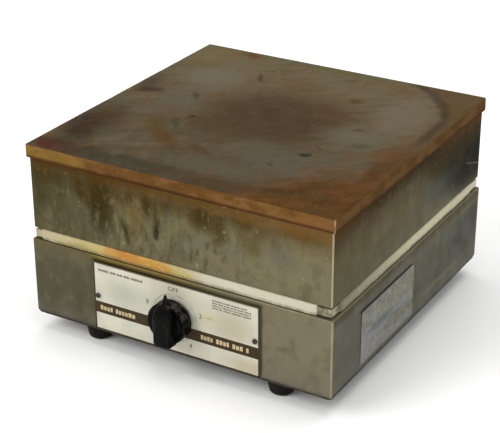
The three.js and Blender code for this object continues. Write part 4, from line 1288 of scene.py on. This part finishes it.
def dress_cad_nodes():
    """Gives each CAD node that stays its material, smooth faces and small edge rounds."""
    group = soft_edges()
    for node, piece in frame["nodes"].items():
        if piece.hide_render:
            continue
        slot = piece.data.materials[0].name
        piece.material_slots[0].link = "OBJECT"
        piece.material_slots[0].material = GAP_STEEL if node == "spacer_frame" else PAINTS[slot]
        smooth = piece.modifiers.new("soft edges", "NODES")
        smooth.node_group = group
        if slot in ("sleeving", "element_tube"):
            tube = piece.modifiers.new("round tube", "SUBSURF")
            tube.levels = tube.render_levels = 1
            continue
        flat = piece.modifiers.new("whole faces", "DECIMATE")
        flat.decimate_type, flat.angle_limit = "DISSOLVE", math.radians(0.4)
        bevel = piece.modifiers.new("edge rounds", "BEVEL")
        bevel.width, bevel.segments = 0.00022, 2
        bevel.limit_method, bevel.angle_limit = "ANGLE", math.radians(40)
        bevel.harden_normals = True


# ---------------------------------------------------------------- stage


def studio():
    """A pale floor, a soft key from the front left, a broad light overhead and a weak fill."""
    mesh = bmesh.new()
    bmesh.ops.create_grid(mesh, x_segments=40, y_segments=40, size=4.0)
    data = as_data("floor", mesh)
    p = Paint("floor_paper", specular_ior_level=0.1)
    tone = p.patches(0.6, 3.0, 0.3, 0.7)
    p.colour = p.mix(tone, (244, 244, 243), (250, 250, 249))
    data.materials.append(p.done(p.band(tone, 0, 1, 0.85, 0.95)))
    placed("floor", data)
    world = bpy.data.worlds.new("studio")
    world.use_nodes = True
    sky = world.node_tree.nodes["Background"].inputs
    sky["Color"].default_value = (1.0, 1.0, 1.0, 1)
    sky["Strength"].default_value = 0.62
    scene.world = world
    lamps = [
        # name, place, width, power
        ("key", (-1.3, -1.9, 1.7), 1.6, 42),
        ("overhead", (0.1, 0.5, 2.3), 2.4, 34),
        ("fill", (2.2, -0.6, 1.0), 1.4, 7),
    ]
    for name, place, width, power in lamps:
        light = bpy.data.lights.new(name, "AREA")
        light.size, light.energy = width, power
        lamp = placed(name, light)
        lamp.location = place
        aim = Vector(place) - Vector((0, 0, 0.1))
        lamp.rotation_mode = "QUATERNION"
        lamp.rotation_quaternion = aim.to_track_quat("Z", "Y")


def make_camera():
    """The photograph's viewpoint: from the front right, looking down on the plate."""
    turn, rise, roll = math.radians(30.57), math.radians(25.69), -0.00324
    distance, aim_height, shift_right, shift_up = 1.39954, 0.08087, -0.01282, 0.00562
    back = Vector((math.sin(turn) * math.cos(rise), -math.cos(turn) * math.cos(rise), math.sin(rise)))
    right = Vector((math.cos(turn), math.sin(turn), 0))
    up = back.cross(right)
    aim = Vector((MIDDLE.x, MIDDLE.y, aim_height)) + shift_right * right + shift_up * up
    across = math.cos(roll) * right + math.sin(roll) * up
    above = math.cos(roll) * up - math.sin(roll) * right
    camera = placed("camera", bpy.data.cameras.new("camera"))
    axes = Matrix((across, above, back)).transposed()
    camera.matrix_world = Matrix.Translation(aim + back * distance) @ axes.to_4x4()
    camera.data.sensor_width, camera.data.lens = 36, 108.017
    scene.camera = camera


make_camera()
studio()
scene.view_settings.view_transform = "Standard"

cooking_plate()
casing("head_casing", "upper_shell", 0.00025)
casing("box_casing", "lower_shell", 0.0002)
for side in ("front", "right", "back", "left"):
    fibre_strip(side)
wool_blanket()
for corner in CORNERS:
    rubber_foot(corner)
range_knob()
foil_label()
panel_print()
dress_cad_nodes()
